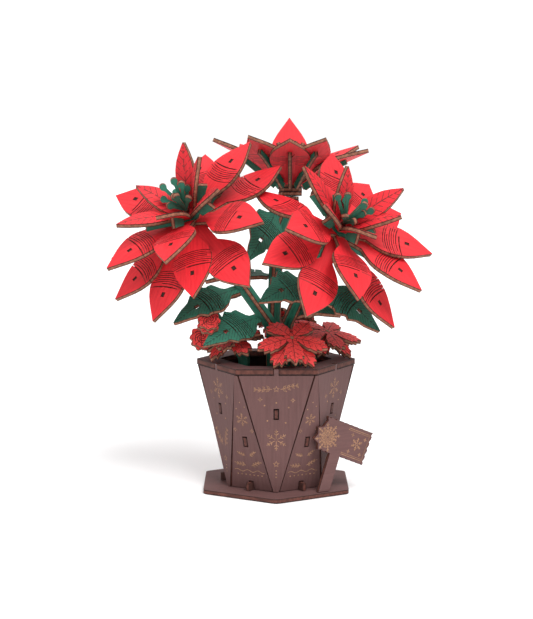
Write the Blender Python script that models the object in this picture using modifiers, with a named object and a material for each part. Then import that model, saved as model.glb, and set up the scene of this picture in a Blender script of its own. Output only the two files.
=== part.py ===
"""A poinsettia in a faceted pot, built from pieces of cut plywood.

Units are metres and +Z is up. The origin is on the table under the pot's axis, and one flat of
the pot's rim faces -Y. Lengths below are written in millimetres and times MM.
"""

import math

import bmesh
import bpy
from mathutils import Matrix, Vector

MM = 0.001

# Stock, and how an outline is cut into rows: its last row before the root, and the least row
PLY = 2.0 * MM
FIT = 0.3 * MM
OUTLINE_END = 1.5 * MM
LEAST_ROW = 0.6 * MM

# Pot: a hexagonal base, a hexagonal rim turned by 30 degrees, and twelve triangular panels
BASE_RADIUS = 40.25 * MM
BASE_ROUND = 3.5 * MM
RIM_RADIUS = 38.4 * MM
RIM_HOLE_RADIUS = 27.5 * MM
RIM_TOP = 62.45 * MM
RIM_THICKNESS = 2.8 * MM
PANEL_TOP_RADIUS = 38.0 * MM
PANEL_FOOT_RADIUS = 26.4 * MM
PANEL_GAP = 0.4 * MM
PANEL_MITRE = 0.62 * MM
HANGING_TIP = 1.5 * MM
STANDING_TIP = 1.0 * MM
SLOT = (2.6 * MM, 5.4 * MM)
FOOT_NOTCH = (5.6 * MM, 1.6 * MM)
RIM_NOTCH = (1.4 * MM, 2.2 * MM)
RIM_HOLE_ROUND = 3.0 * MM
TAB = 4.0 * MM
HANGING_SLOT_HEIGHT = 40.6 * MM
STANDING_SLOT_HEIGHT = 26.4 * MM
SOIL_HEIGHT = 48.0 * MM
SOIL_RADIUS = 29.0 * MM
RIB_INNER_RADIUS = 11.0 * MM
RIB_CLEARANCE = 1.1 * MM
HANGING_RIB_CLEARANCE = 1.4 * MM
TAB_PROUD = 0.2 * MM
FOOT_REACH = 27.0 * MM
FOOT_HEIGHT = 3.6 * MM

# Tag on a stake, parallel to the base's front right edge
TAG_AZIMUTH = -60.0
TAG_DISTANCE = 33.2 * MM
TAG_TURN = -23.0
TAG_SIZE = (27.3 * MM, 16.3 * MM)
TAG_CENTRE = (19.2 * MM, 25.5 * MM)
STAKE_FOOT = (7.1 * MM, 2.3 * MM)
STAKE_WIDTH = 6.2 * MM
STAKE_TOP = (-3.5 * MM, -0.3)
STAMP = 3.0 * MM
STAMP_DEPTH = 0.5 * MM
STAMP_STEPS = ((0.0, 0), (0.35, 0), (0.5, 1), (0.65, 1))
BURST_MIDDLE = (-0.38, -0.08)
BURST_RADII = (5.8 * MM, 7.6 * MM)
BURST_POINTS = 16

# Large heads: hub, azimuth of the axis and its lean from the vertical
HEADS = {
    "left": ((-39.5, -16.2, 131.0), -127.8, 41.9),
    "right": ((27.9, -28.0, 126.2), -44.7, 47.6),
    "back": ((7.2, 33.0, 142.5), 90.0, 5.0),
}

# Each petal: its angle round the head, how far it is lifted, and its extra length in mm
UPPER_PETALS = {
    "left": ((24, 9, 0), (86, -4, 0), (163, 1, 0), (203, -9, 0), (265, 2, 0), (331, -1, 0)),
    "right": ((26, -1, 1), (54, 6, 0), (96, -5, 0), (122, -7, 0), (153, -1, 0), (275, 4, -1),
              (334, -3, 0)),
    "back": ((179, 19, 0), (149, 22, 0), (204, 20, 0), (250, 16, -2), (95, 24, -1),
             (300, 20, 0), (40, 22, 0)),
}
LOWER_PETALS = {
    "left": ((326, 0, 1), (359, -3, 1.5), (26, 1, -7), (58, 0, 1), (154, 5, 0), (191, 2, 0),
             (229, -1.5, 0), (291, 1, 0)),
    "right": ((23, -4, 1), (315, 0, 0.5), (278, 1, -5), (100, 1, 0), (141, -1, 0), (192, -11, -2)),
    "back": (),
}
RAISED_PETALS = {"left": (), "right": (), "back": ((0, 0, 0),)}
# Each inner petal: its angle round the head, its rise from the head's plane and its length in mm
INNER_PETALS = {
    "left": ((184, 50, 33.2), (127, 54.5, 32), (272, 38, 28), (16.5, 40, 31), (322, 26, 35),
             (89, 31, 33)),
    "right": ((182, 50, 28), (84, 56, 33.3), (36, 52, 29.5), (337, 39, 31), (272, 33, 31),
              (217, 23.5, 34)),
    "back": ((73, 66, 16), (112, 68, 17.5), (157, 65, 18), (206, 67, 18), (249, 66, 17.5),
             (286, 68, 16)),
}
# Each stamen: its angle round the head, its rise and the distance of its head from the hub
STAMENS = {
    "left": ((196, 80, 22), (271, 75, 22), (284, 62, 17), (45, 72, 21), (130, 78, 21)),
    "right": ((238, 58, 22), (232, 70, 22), (346, 84, 22), (40, 74, 21), (110, 76, 20)),
    "back": ((0, 86, 18), (120, 86, 18), (240, 86, 18)),
}
INNER_ROOT = 3.0 * MM
STAMEN_ROOT = 4.0 * MM
STAMEN_HALF_WIDTH = 0.9 * MM
STAMEN_HEAD = 2.1 * MM
CORE_RADIUS = 1.3 * MM
CORE_RISE = 4.0 * MM
BOSS_RADIUS = 3.4 * MM
# Layers: length in mm and rise of the neck, of the middle and of the tip end
UPPER_LAYER = ((25.1, 15.0), (8.5, 7.0), (13.6, -0.7))
LOWER_LAYER = ((29.5, -15.2), (8.5, -14.5), (13.6, -13.7))
RAISED_LAYER = ((25.1, 43.0), (8.5, 65.0), (13.6, 72.0))
HUB_RADIUS = 6.0 * MM
HUB_HALF = 3.0 * MM
HUB_TOP = {"left": 3.0 * MM, "right": 3.0 * MM, "back": 6.0 * MM}

# Half-widths in mm of a blade at distances in mm from its tip
PETAL_OUTLINE = ((0, 0), (3.5, 2.8), (8, 5.8), (13, 8.5), (18, 9.7), (23, 9.6), (27.5, 8.1),
                 (31, 5.4), (33, 3.2), (36, 3.0))
INNER_OUTLINE = ((0, 0), (4, 2.3), (9, 4.3), (14, 5.4), (19, 5.1), (24, 3.9), (28, 2.6), (30, 2.2))
PETAL_ROOT = 2.5 * MM
INNER_BEND = (0.55, 0.045)
LEAF_BEND = (0.45, 0.1)
# A leaf's two sides in mm from its tip, toothed
LEAF_OUTLINE = ((0, 0, 0), (4, 2.2, 2.0), (10, 4.6, 4.8), (12, 5.4, 4.4), (14.5, 8.4, 8.0),
                (16.5, 7.0, 7.6), (21, 10.2, 9.6), (23.5, 8.2, 9.0), (27, 8.6, 7.0),
                (29.5, 4.0, 4.4), (32, 2.4, 2.4))
# A small flower's lobe, likewise
LOBE_OUTLINE = ((0, 0.5, 0.5), (2.2, 3.6, 2.7), (3.2, 2.8, 3.9), (5.6, 5.6, 4.9), (6.6, 4.6, 6.2),
                (8.6, 6.5, 5.3), (9.8, 5.4, 5.4), (12.5, 3.0, 3.0), (15, 2.4, 2.4))
# Lengths in mm and droop in degrees of a small flower's two layers, and how far lobes differ
UPPER_LOBE = (17.0, 10.0)
LOWER_LOBE = (16.0, 19.0)
LOBE_UNEVENNESS = 2.0
LOBE_WAVE = 2.3
LOBE_PHASE = 0.7
LOBE_ROOT = 1.0 * MM
LOBE_LEGS = ((0.35, 0.3), (0.6, 1.0))
LOWER_LAYER_DROP = 2.4 * MM
FLOWER_CORE = (4.0 * MM, -3.4 * MM, 1.0 * MM)
FLOWER_POST_TOP = 4.3 * MM

# Stems: bends in mm from the soil to under each hub
STEM_WIDTH = 6.4 * MM
STEM_HOLE_RADIUS = 3.85 * MM
POST_WIDTH = 4.4 * MM
POST_KNEE = 1.0 * MM
STEM_TOP = 2.6 * MM
COLLAR = (4.5 * MM, 3.6 * MM)
STEMS = {
    "left": ((-1.5, -5.0, 48.3), (-1.5, -5.0, 78.0), (-16.0, -9.0, 99.0)),
    "right": ((5.5, -1.5, 48.3), (5.5, -1.5, 80.0), (13.5, -10.0, 99.0)),
    "back": ((-1.0, 6.0, 48.3), (-1.0, 6.0, 80.0), (0.5, 20.0, 120.0)),
}

# Leaves: the stem, the height that the root leaves it at, the tip and where the face looks, in mm
LEAVES = {
    "leaf_left_front": ("left", 99.0, (-48.0, -25.0, 82.6), (0.2, -0.5, 1.0)),
    "leaf_left_back": ("left", 96.0, (-36.0, 14.0, 88.7), (0.0, -0.3, 1.0)),
    "leaf_left_low": ("left", 85.0, (-34.2, -29.0, 72.4), (0.1, -0.8, 0.8)),
    "leaf_centre": ("right", 101.0, (-8.0, -36.0, 94.0), (0.3, -0.8, 0.7)),
    "leaf_right_low": ("right", 89.0, (31.0, -10.0, 84.5), (0.0, -0.4, 1.0)),
    "leaf_right_front": ("right", 103.0, (48.5, -22.0, 78.4), (-0.2, -0.5, 1.0)),
    "leaf_right_back": ("right", 96.0, (45.0, 16.0, 90.0), (0.0, -0.2, 1.0)),
    "leaf_back_left": ("back", 128.0, (-14.0, 1.0, 109.5), (0.3, -0.9, 0.3)),
    "leaf_back_low": ("back", 101.0, (-35.0, 24.0, 97.0), (0.0, -0.1, 1.0)),
}

# Small flowers: centre in mm, azimuth and lean of the axis, spin, and the post's foot in mm
SMALL_FLOWERS = {
    "small_flower_front": ((7.4, -24.0, 75.2), -85.0, 30.0, 0.0, (10.0, -17.5)),
    "small_flower_left": ((-22.0, -7.3, 75.0), -150.0, 20.0, 46.0, (-16.0, -6.0)),
    "small_flower_right": ((25.0, 3.0, 74.5), -50.0, 20.0, 56.0, (18.0, 3.0)),
    "small_flower_back": ((5.0, 29.0, 80.0), 100.0, 25.0, 0.0, (6.0, 18.5)),
}
# Buds: centre in mm, azimuth and lean of the axis
BUD_LEFT = ((-36.0, -14.0, 74.5), -80.0, 65.0)
BUD_LEFT_BACK = ((-33.5, 21.0, 84.5), 150.0, 55.0)
BUD_FOOT = (-15.0, 12.0)
BUD_ON_LEAF = (9.6 * MM, 7.6 * MM)
BUD_RADIUS = 5.0 * MM
BUD_SCALLOP = 0.45 * MM
BUD_SCALLOPS = 8
BUD_BEHIND = (0.8 * MM, 0.5 * MM, -PLY + 0.1 * MM)
BUD_POST_TOP = PLY + 2.4 * MM

RED = (0.72, 0.035, 0.045, 1.0)
GREEN = (0.03, 0.19, 0.12, 1.0)
BROWN = (0.14, 0.085, 0.08, 1.0)
DARK_BROWN = (0.075, 0.04, 0.035, 1.0)

for old in list(bpy.data.objects):
    bpy.data.objects.remove(old, do_unlink=True)

PARTS = bpy.data.collections.new("poinsettia")
CUTTERS = bpy.data.collections.new("cutters")
bpy.context.scene.collection.children.link(PARTS)
bpy.context.scene.collection.children.link(CUTTERS)


def paint(name, colour, roughness):
    material = bpy.data.materials.new(name)
    material.use_nodes = True
    shader = material.node_tree.nodes["Principled BSDF"]
    shader.inputs["Base Color"].default_value = colour
    shader.inputs["Roughness"].default_value = roughness
    shader.inputs["Metallic"].default_value = 0.0
    material.diffuse_color = colour
    return material


def add_object(name, mesh, colour, matrix=None):
    """A node named name, with its own material."""
    obj = bpy.data.objects.new(name, mesh)
    PARTS.objects.link(obj)
    obj.data.materials.clear()
    obj.data.materials.append(paint(name, colour, 0.75))
    if matrix is not None:
        obj.matrix_world = matrix
    return obj


def rotation(axis, degrees):
    return Matrix.Rotation(math.radians(degrees), 4, axis)


def polar(radius, degrees):
    angle = math.radians(degrees)
    return Vector((radius * math.cos(angle), radius * math.sin(angle)))


def polygon(radius, sides, first):
    return [polar(radius, first + 360 * k / sides) for k in range(sides)]


def rounded(points, radius, steps=3):
    """A convex outline with each corner replaced by an arc."""
    outline = []
    for k, corner in enumerate(points):
        before = (points[k - 1] - corner).normalized()
        after = (points[(k + 1) % len(points)] - corner).normalized()
        half = before.angle(after) / 2
        centre = corner + (before + after).normalized() * radius / math.sin(half)
        start = corner + before * radius / math.tan(half) - centre
        end = corner + after * radius / math.tan(half) - centre
        for step in range(steps + 1):
            outline.append(centre + start.lerp(end, step / steps).normalized() * radius)
    return outline


def flat_mesh(outline, thickness, holes=()):
    """A plate in the XY plane, its underside at z = 0, from a filled 2D curve."""
    curve = bpy.data.curves.new("outline", "CURVE")
    curve.dimensions = "2D"
    curve.fill_mode = "BOTH"
    curve.extrude = thickness / 2
    for ring in (outline, *holes):
        spline = curve.splines.new("POLY")
        spline.points.add(len(ring) - 1)
        for point, place in zip(spline.points, ring):
            point.co = (place[0], place[1], 0, 1)
        spline.use_cyclic_u = True
    obj = bpy.data.objects.new("outline", curve)
    bpy.context.scene.collection.objects.link(obj)
    graph = bpy.context.evaluated_depsgraph_get()
    mesh = bpy.data.meshes.new_from_object(obj.evaluated_get(graph))
    bpy.data.objects.remove(obj)
    work = bmesh.new()
    work.from_mesh(mesh)
    bmesh.ops.remove_doubles(work, verts=work.verts, dist=0.01 * MM)
    bmesh.ops.translate(work, verts=work.verts, vec=(0, 0, thickness / 2))
    bmesh.ops.recalc_face_normals(work, faces=work.faces)
    work.to_mesh(mesh)
    work.free()
    return mesh


def plate(name, outline, thickness, colour, matrix=None, holes=()):
    return add_object(name, flat_mesh(outline, thickness, holes), colour, matrix)


def rectangle(centre, width, height, degrees=0.0):
    turn = Matrix.Rotation(math.radians(degrees), 2)
    corners = ((-1, -1), (1, -1), (1, 1), (-1, 1))
    return [Vector(centre) + turn @ Vector((x * width / 2, y * height / 2)) for x, y in corners]


def box_cutter(name, size, matrix):
    mesh = bpy.data.meshes.new(name)
    work = bmesh.new()
    bmesh.ops.create_cube(work, size=1.0)
    bmesh.ops.scale(work, verts=work.verts, vec=size)
    work.to_mesh(mesh)
    work.free()
    cutter = bpy.data.objects.new(name, mesh)
    CUTTERS.objects.link(cutter)
    cutter.matrix_world = matrix
    cutter.hide_render = True
    cutter.display_type = "WIRE"
    return cutter


def cut(obj, cutter):
    modifier = obj.modifiers.new(cutter.name, "BOOLEAN")
    modifier.operation = "DIFFERENCE"
    modifier.object = cutter


def fuse(name, pieces, colour):
    """Joins the pieces into one node by one Boolean union on a collection."""
    bunch = bpy.data.collections.new("bunch")
    bpy.context.scene.collection.children.link(bunch)
    first, *others = pieces
    for piece in others:
        for holder in list(piece.users_collection):
            holder.objects.unlink(piece)
        bunch.objects.link(piece)
    modifier = first.modifiers.new("join", "BOOLEAN")
    modifier.operation = "UNION"
    modifier.operand_type = "COLLECTION"
    modifier.collection = bunch
    bpy.context.view_layer.update()
    graph = bpy.context.evaluated_depsgraph_get()
    mesh = bpy.data.meshes.new_from_object(first.evaluated_get(graph))
    mesh.transform(first.matrix_world)
    for piece in pieces:
        bpy.data.objects.remove(piece, do_unlink=True)
    bpy.data.collections.remove(bunch)
    return add_object(name, mesh, colour)


def loose(mesh, matrix):
    """A piece that a union takes up."""
    obj = bpy.data.objects.new("loose", mesh)
    PARTS.objects.link(obj)
    obj.matrix_world = matrix
    return obj


def cylinder(radius, low, high, sides, matrix):
    mesh = bpy.data.meshes.new("cylinder")
    work = bmesh.new()
    bmesh.ops.create_cone(work, cap_ends=True, segments=sides, radius1=radius, radius2=radius,
                          depth=high - low)
    bmesh.ops.translate(work, verts=work.verts, vec=(0, 0, (high + low) / 2))
    work.to_mesh(mesh)
    work.free()
    return loose(mesh, matrix)


def along(path, distance):
    """The point this far along a path, and the way the path runs there."""
    for start, end in zip(path, path[1:]):
        step = (end - start).length
        if distance <= step or end is path[-1]:
            return start.lerp(end, distance / step)
        distance -= step
    raise ValueError("an empty path")


def blade(path, sides, across, matrix):
    """A strip of plywood: an open surface along the path, from its root to its tip, thickened.

    sides holds (distance from the tip, half-width on the left, half-width on the right).
    """
    total = sum((b - a).length for a, b in zip(path, path[1:]))
    bends = [sum((b - a).length for a, b in zip(path[k:], path[k + 1:])) for k in range(len(path))]
    stations = {round(distance, 7): (left, right) for distance, left, right in sides
                if distance < total - OUTLINE_END}
    stations[round(total, 7)] = stations[max(stations)]
    for bend in bends[1:-1]:
        near = max(d for d in stations if d <= bend)
        far = min(d for d in stations if d > bend)
        if near == 0 or min(bend - near, far - bend) > LEAST_ROW:
            part = (bend - near) / (far - near)
            widths = zip(stations[near], stations[far])
            stations[round(bend, 7)] = tuple(a + (b - a) * part for a, b in widths)
    work = bmesh.new()
    rows = []
    for distance in sorted(stations):
        place = along(path, total - distance)
        left, right = stations[distance]
        if left == 0:
            rows.append((work.verts.new(place),))
        else:
            rows.append((work.verts.new(place + across * left), work.verts.new(place - across * right)))
    for near, far in zip(rows, rows[1:]):
        work.faces.new((*near, *reversed(far)))
    bmesh.ops.recalc_face_normals(work, faces=work.faces)
    mesh = bpy.data.meshes.new("blade")
    work.to_mesh(mesh)
    work.free()
    obj = loose(mesh, matrix)
    shell = obj.modifiers.new("thickness", "SOLIDIFY")
    shell.thickness = PLY
    shell.offset = 0.0
    shell.use_even_offset = True
    return obj


def outline_sides(outline):
    """An outline in mm with the same half-width on both sides, or with two, in metres."""
    return [(row[0] * MM, row[1] * MM, row[-1] * MM) for row in outline]


def head_matrix(hub, azimuth, lean):
    """The head's frame: Z along its axis, X down the side it leans to."""
    return Matrix.Translation(Vector(hub) * MM) @ rotation("Z", azimuth) @ rotation("Y", lean)


def rising_path(start, legs):
    """A path in the XZ plane from (length, rise) legs."""
    path = [Vector((start[0], 0, start[1]))]
    for length, rise in legs:
        angle = math.radians(rise)
        path.append(path[-1] + length * Vector((math.cos(angle), 0, math.sin(angle))))
    return path


def outer_petal(layer, extra, matrix):
    legs = [(length * MM, rise) for length, rise in layer]
    legs[0] = (legs[0][0] + extra * MM, legs[0][1])
    path = rising_path((0, 0), legs)
    path[0] = path[0].lerp(path[1], PETAL_ROOT / legs[0][0])
    return blade(path, outline_sides(PETAL_OUTLINE), Vector((0, 1, 0)), matrix)


def inner_petal(rise, length, matrix):
    """A petal that stands up from the hub and bends outwards halfway."""
    angle = math.radians(rise)
    tip = Vector((math.cos(angle), 0, math.sin(angle))) * length * MM
    start = Vector((INNER_ROOT, 0, 0))
    outside = Vector((math.sin(angle), 0, -math.cos(angle)))
    path = [start, start.lerp(tip, INNER_BEND[0]) - outside * INNER_BEND[1] * length * MM, tip]
    return blade(path, outline_sides(INNER_OUTLINE), Vector((0, 1, 0)), matrix)


def stamen(root, end):
    """A paddle with a round head that faces the front."""
    run = end - root
    length = run.length
    disc = [Vector((length, 0)) + polar(STAMEN_HEAD, a) for a in range(-150, 151, 30)]
    outline = [Vector((0, -STAMEN_HALF_WIDTH)), *disc, Vector((0, STAMEN_HALF_WIDTH))]
    axis = run.normalized()
    across = axis.cross(Vector((0, -1, 0))).normalized()
    normal = axis.cross(across)
    axes = Matrix((axis, across, normal)).transposed().to_4x4()
    place = Matrix.Translation(root) @ axes @ Matrix.Translation((0, 0, -PLY / 2))
    return loose(flat_mesh(outline, PLY), place)


def build_head(side):
    """The red petals of one large head, round one hub."""
    frame = head_matrix(*HEADS[side])
    top = HUB_TOP[side]
    pieces = [cylinder(HUB_RADIUS, -HUB_HALF, top, 12, frame)]
    layers = ((UPPER_PETALS, UPPER_LAYER), (LOWER_PETALS, LOWER_LAYER),
              (RAISED_PETALS, RAISED_LAYER))
    for petals, layer in layers:
        for angle, lift, extra in petals[side]:
            place = frame @ rotation("Z", angle) @ rotation("Y", -lift)
            pieces.append(outer_petal(layer, extra, place))
    fuse("petals_" + side, pieces, RED)
    boss = cylinder(BOSS_RADIUS, top + FIT, top + FIT + PLY, 10, frame)
    inner = [boss]
    for angle, rise, length in INNER_PETALS[side]:
        lifted = frame @ Matrix.Translation((0, 0, top + FIT + PLY / 2)) @ rotation("Z", angle)
        inner.append(inner_petal(rise, length, lifted))
    fuse("inner_petals_" + side, inner, RED)
    root = top + STAMEN_ROOT
    core = cylinder(CORE_RADIUS, top + PLY + 2 * FIT, root + CORE_RISE, 10, frame)
    stamens = [core]
    for angle, rise, length in STAMENS[side]:
        turned = frame @ rotation("Z", angle) @ rotation("Y", -rise)
        stamens.append(stamen(frame @ Vector((0, 0, root)), turned @ Vector((length * MM, 0, 0))))
    fuse("stamens_" + side, stamens, GREEN)


def stem_strip(points, width, across):
    """A plywood strip of even width along a bent path."""
    path = [Vector(p) * MM for p in points]
    half = width / 2
    return blade(path, ((0, half, half),), across, Matrix())


def build_stem(side):
    """One stem: two strips crossed along their length, and a collar under the head."""
    frame = head_matrix(*HEADS[side])
    top = frame @ Vector((0, 0, -HUB_HALF - FIT - STEM_TOP))
    points = [*STEMS[side], tuple(top / MM)]
    lean = Vector(points[-1]) - Vector(points[1])
    flat = Vector((lean.x, lean.y, 0)).normalized()
    cross = Vector((-flat.y, flat.x, 0))
    pieces = [stem_strip(points, STEM_WIDTH, cross)]
    radius, length = COLLAR
    pieces.append(cylinder(radius, -HUB_HALF - FIT - length, -HUB_HALF - FIT, 12, frame))
    for start, end in zip(points, points[1:]):
        low = Vector(start) * MM
        high = Vector(end) * MM
        run = (high - low).normalized()
        edge = run.cross(cross).normalized()
        pieces.append(blade([low, high], ((0, STEM_WIDTH / 2, STEM_WIDTH / 2),), edge, Matrix()))
    fuse("stem_" + side, pieces, GREEN)


def stem_point(side, height):
    """The middle of a stem at a height in mm, and the way the stem runs there."""
    hub = Vector(HEADS[side][0])
    points = [*(Vector(p) for p in STEMS[side]), hub]
    for low, high in zip(points, points[1:]):
        if height <= high.z:
            part = (height - low.z) / (high.z - low.z)
            return low.lerp(high, part) * MM, (high - low).normalized()
    raise ValueError("above the stem")


def leaf_frame(name):
    """A leaf's root, middle and tip, and the way its width runs.

    The root stands clear of the stem by the fit, whichever way the leaf is turned.
    """
    side, height, tip, face = LEAVES[name]
    axis, stem = stem_point(side, height)
    end = Vector(tip) * MM
    away = end - axis
    away = (away - stem * away.dot(stem)).normalized()
    across = Vector(face).cross(end - axis).normalized()
    above = (end - axis).cross(across).normalized()
    reach = abs(across.dot(away)) * LEAF_OUTLINE[-1][1] * MM + abs(above.dot(away)) * PLY / 2
    start = axis + away * (STEM_WIDTH / 2 + FIT + reach)
    middle = start.lerp(end, LEAF_BEND[0]) + above * (end - start).length * LEAF_BEND[1]
    return [start, middle, end], across


def build_leaf(name):
    path, across = leaf_frame(name)
    obj = blade(path, outline_sides(LEAF_OUTLINE), across, Matrix())
    obj.name = name
    obj.data.materials.append(paint(name, GREEN, 0.75))


def flower_lobe(length, drop, matrix):
    """One toothed lobe that droops towards its tip."""
    legs = [(length * part * MM, -drop * share) for part, share in LOBE_LEGS]
    path = rising_path((LOBE_ROOT, 0), legs)
    return blade(path, outline_sides(LOBE_OUTLINE), Vector((0, 1, 0)), matrix)


def build_small_flower(name):
    """Two layers of five toothed lobes and, in green, the post that carries them."""
    centre, azimuth, lean, spin, foot = SMALL_FLOWERS[name]
    frame = head_matrix(centre, azimuth, lean)
    pieces = [cylinder(*FLOWER_CORE, 10, frame)]
    for k in range(5):
        top = frame @ rotation("Z", spin + 72 * k)
        below = frame @ Matrix.Translation((0, 0, -LOWER_LAYER_DROP))
        low = below @ rotation("Z", spin + 36 + 72 * k)
        uneven = LOBE_UNEVENNESS * math.sin(LOBE_WAVE * k + LOBE_PHASE)
        pieces.append(flower_lobe(UPPER_LOBE[0], UPPER_LOBE[1] + uneven, top))
        pieces.append(flower_lobe(LOWER_LOBE[0], LOWER_LOBE[1] - uneven, low))
    if name == "small_flower_left":
        pieces += bud_discs(head_matrix(*BUD_LEFT))
    fuse(name, pieces, RED)
    build_post(name + "_post", foot, frame @ Vector((0, 0, -FLOWER_POST_TOP)))


def build_post(name, foot, top):
    start = Vector((foot[0] * MM, foot[1] * MM, SOIL_HEIGHT + FIT))
    knee = Vector((start.x, start.y, RIM_TOP + POST_KNEE))
    half = POST_WIDTH / 2
    obj = blade([start, knee, top], ((0, half, half),), Vector((1, 0, 0)), Matrix())
    obj.name = name
    obj.data.materials.append(paint(name, GREEN, 0.75))


def bud_discs(frame):
    """Two scalloped discs, one behind the other."""
    corners = 4 * BUD_SCALLOPS
    scallops = []
    for k in range(corners):
        angle = 360 * k / corners
        wave = math.cos(math.radians(BUD_SCALLOPS * angle))
        scallops.append(polar(BUD_RADIUS + BUD_SCALLOP * wave, angle))
    behind = frame @ Matrix.Translation(BUD_BEHIND) @ rotation("Z", 180 / BUD_SCALLOPS)
    return [loose(flat_mesh(scallops, PLY), frame), loose(flat_mesh(scallops, PLY), behind)]


def build_buds():
    frame = head_matrix(*BUD_LEFT_BACK)
    fuse("bud_back", bud_discs(frame), RED)
    build_post("bud_back_post", BUD_FOOT, frame @ Vector((0, 0, -BUD_POST_TOP)))
    path, across = leaf_frame("leaf_left_low")
    run = (path[2] - path[1]).normalized()
    normal = run.cross(across).normalized()
    spot = path[2] - run * BUD_ON_LEAF[0] - across * BUD_ON_LEAF[1] + normal * (1.5 * PLY + FIT)
    axes = Matrix((run, normal.cross(run), normal)).transposed().to_4x4()
    fuse("bud_front", bud_discs(Matrix.Translation(spot) @ axes), RED)


def panel_corners(number, hanging):
    """The three corners of a panel's outer face: of a hanging one, top, top, foot."""
    middle = -90 + 60 * number + (0 if hanging else 30)
    low = PLY + FIT
    high = RIM_TOP - RIM_THICKNESS - FIT
    if hanging:
        wide = [polar(PANEL_TOP_RADIUS, middle + side).to_3d() + Vector((0, 0, high))
                for side in (30, -30)]
        point = polar(PANEL_FOOT_RADIUS, middle).to_3d() + Vector((0, 0, low))
    else:
        wide = [polar(PANEL_FOOT_RADIUS, middle + side).to_3d() + Vector((0, 0, low))
                for side in (-30, 30)]
        point = polar(PANEL_TOP_RADIUS, middle).to_3d() + Vector((0, 0, high))
    return wide, point


def build_panel(number, hanging):
    """A triangular panel with mitred long edges, a blunt tip and a slot for its rib's tab."""
    wide, point = panel_corners(number, hanging)
    middle = (wide[0] + wide[1]) / 2
    across = (wide[1] - wide[0]).normalized()
    upwards = (point - middle).normalized()
    outward = across.cross(upwards).normalized()
    half = (wide[1] - wide[0]).length / 2
    length = (point - middle).length
    tip = HANGING_TIP if hanging else STANDING_TIP
    beside = STANDING_TIP if hanging else HANGING_TIP
    slope = math.atan2(half - beside - tip, length)
    layers = []
    for depth, gap in ((0.0, PANEL_GAP), (PLY, PANEL_GAP + PANEL_MITRE)):
        shift = gap / math.cos(slope)
        wide_half = half - beside - shift
        narrow_half = tip - shift / 2
        level = depth * abs(outward.z / upwards.z)
        start, end = (level, length) if hanging else (0, length - level)
        flat = ((-wide_half, start), (wide_half, start), (narrow_half, end), (-narrow_half, end))
        layers.append([middle + across * x + upwards * y - outward * depth for x, y in flat])
    mesh = bpy.data.meshes.new("panel")
    work = bmesh.new()
    front, back = [[work.verts.new(p) for p in layer] for layer in layers]
    work.faces.new(front)
    work.faces.new(back[::-1])
    for k in range(4):
        work.faces.new((front[k], back[k], back[(k + 1) % 4], front[(k + 1) % 4]))
    bmesh.ops.recalc_face_normals(work, faces=work.faces)
    work.to_mesh(mesh)
    work.free()
    kind = "hanging" if hanging else "standing"
    name = "panel_%s_%d" % (kind, number + 1)
    obj = add_object(name, mesh, BROWN)
    axes = Matrix((across, upwards, outward)).transposed().to_4x4()
    height = HANGING_SLOT_HEIGHT if hanging else STANDING_SLOT_HEIGHT
    rise = (height - middle.z) / upwards.z
    spot = Matrix.Translation(middle + upwards * rise) @ axes
    cut(obj, box_cutter(name + "_slot", (*SLOT, 4 * PLY), spot))
    if not hanging:
        foot = Matrix.Translation(middle + upwards * FOOT_NOTCH[1]) @ axes
        cut(obj, box_cutter(name + "_foot", (SLOT[0], FOOT_NOTCH[0], 4 * PLY), foot))
    return obj


def panel_radius(height, hanging):
    """How far from the axis a panel's outer face lies along its middle line."""
    low = PLY + FIT
    high = RIM_TOP - RIM_THICKNESS - FIT
    part = (height - low) / (high - low)
    flat = math.cos(math.radians(30))
    if hanging:
        return PANEL_FOOT_RADIUS + (PANEL_TOP_RADIUS * flat - PANEL_FOOT_RADIUS) * part
    return PANEL_FOOT_RADIUS * flat + (PANEL_TOP_RADIUS - PANEL_FOOT_RADIUS * flat) * part


def build_rib(number, hanging):
    """A radial plate inside the pot, whose tab fills the slot of its panel."""
    azimuth = -90 + 60 * number + (0 if hanging else 30)
    slot = HANGING_SLOT_HEIGHT if hanging else STANDING_SLOT_HEIGHT
    low = PLY + FIT
    high = SOIL_HEIGHT - FIT
    deep = PLY + RIB_CLEARANCE + (HANGING_RIB_CLEARANCE if hanging else 0)

    def inside(height):
        return panel_radius(height, hanging) - deep

    outline = [(RIB_INNER_RADIUS, low)]
    if hanging:
        outline.append((inside(low), low))
    else:
        outline += [(FOOT_REACH, low), (FOOT_REACH, low + FOOT_HEIGHT)]
        outline.append((inside(low + FOOT_HEIGHT), low + FOOT_HEIGHT))
    outline.append((inside(slot - TAB / 2), slot - TAB / 2))
    outline.append((panel_radius(slot - TAB / 2, hanging) + TAB_PROUD, slot - TAB / 2))
    outline.append((panel_radius(slot + TAB / 2, hanging) + TAB_PROUD, slot + TAB / 2))
    outline.append((inside(slot + TAB / 2), slot + TAB / 2))
    outline += [(inside(high), high), (RIB_INNER_RADIUS, high)]
    matrix = rotation("Z", azimuth) @ rotation("X", 90) @ Matrix.Translation((0, 0, -PLY / 2))
    kind = "hanging" if hanging else "standing"
    plate("rib_%s_%d" % (kind, number + 1), outline, PLY, DARK_BROWN, matrix)


def rim_outline():
    """A hexagon with a notch at the middle of each side for a panel's tab."""
    outline = []
    side = RIM_RADIUS * math.cos(math.radians(30))
    for k in range(6):
        turn = Matrix.Rotation(math.radians(60 * k), 2)
        outline.append(polar(RIM_RADIUS, -120 + 60 * k))
        half, deep = RIM_NOTCH
        for x, y in ((-half, 0), (-half, deep), (half, deep), (half, 0)):
            outline.append(turn @ Vector((x, y - side)))
    return outline


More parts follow.
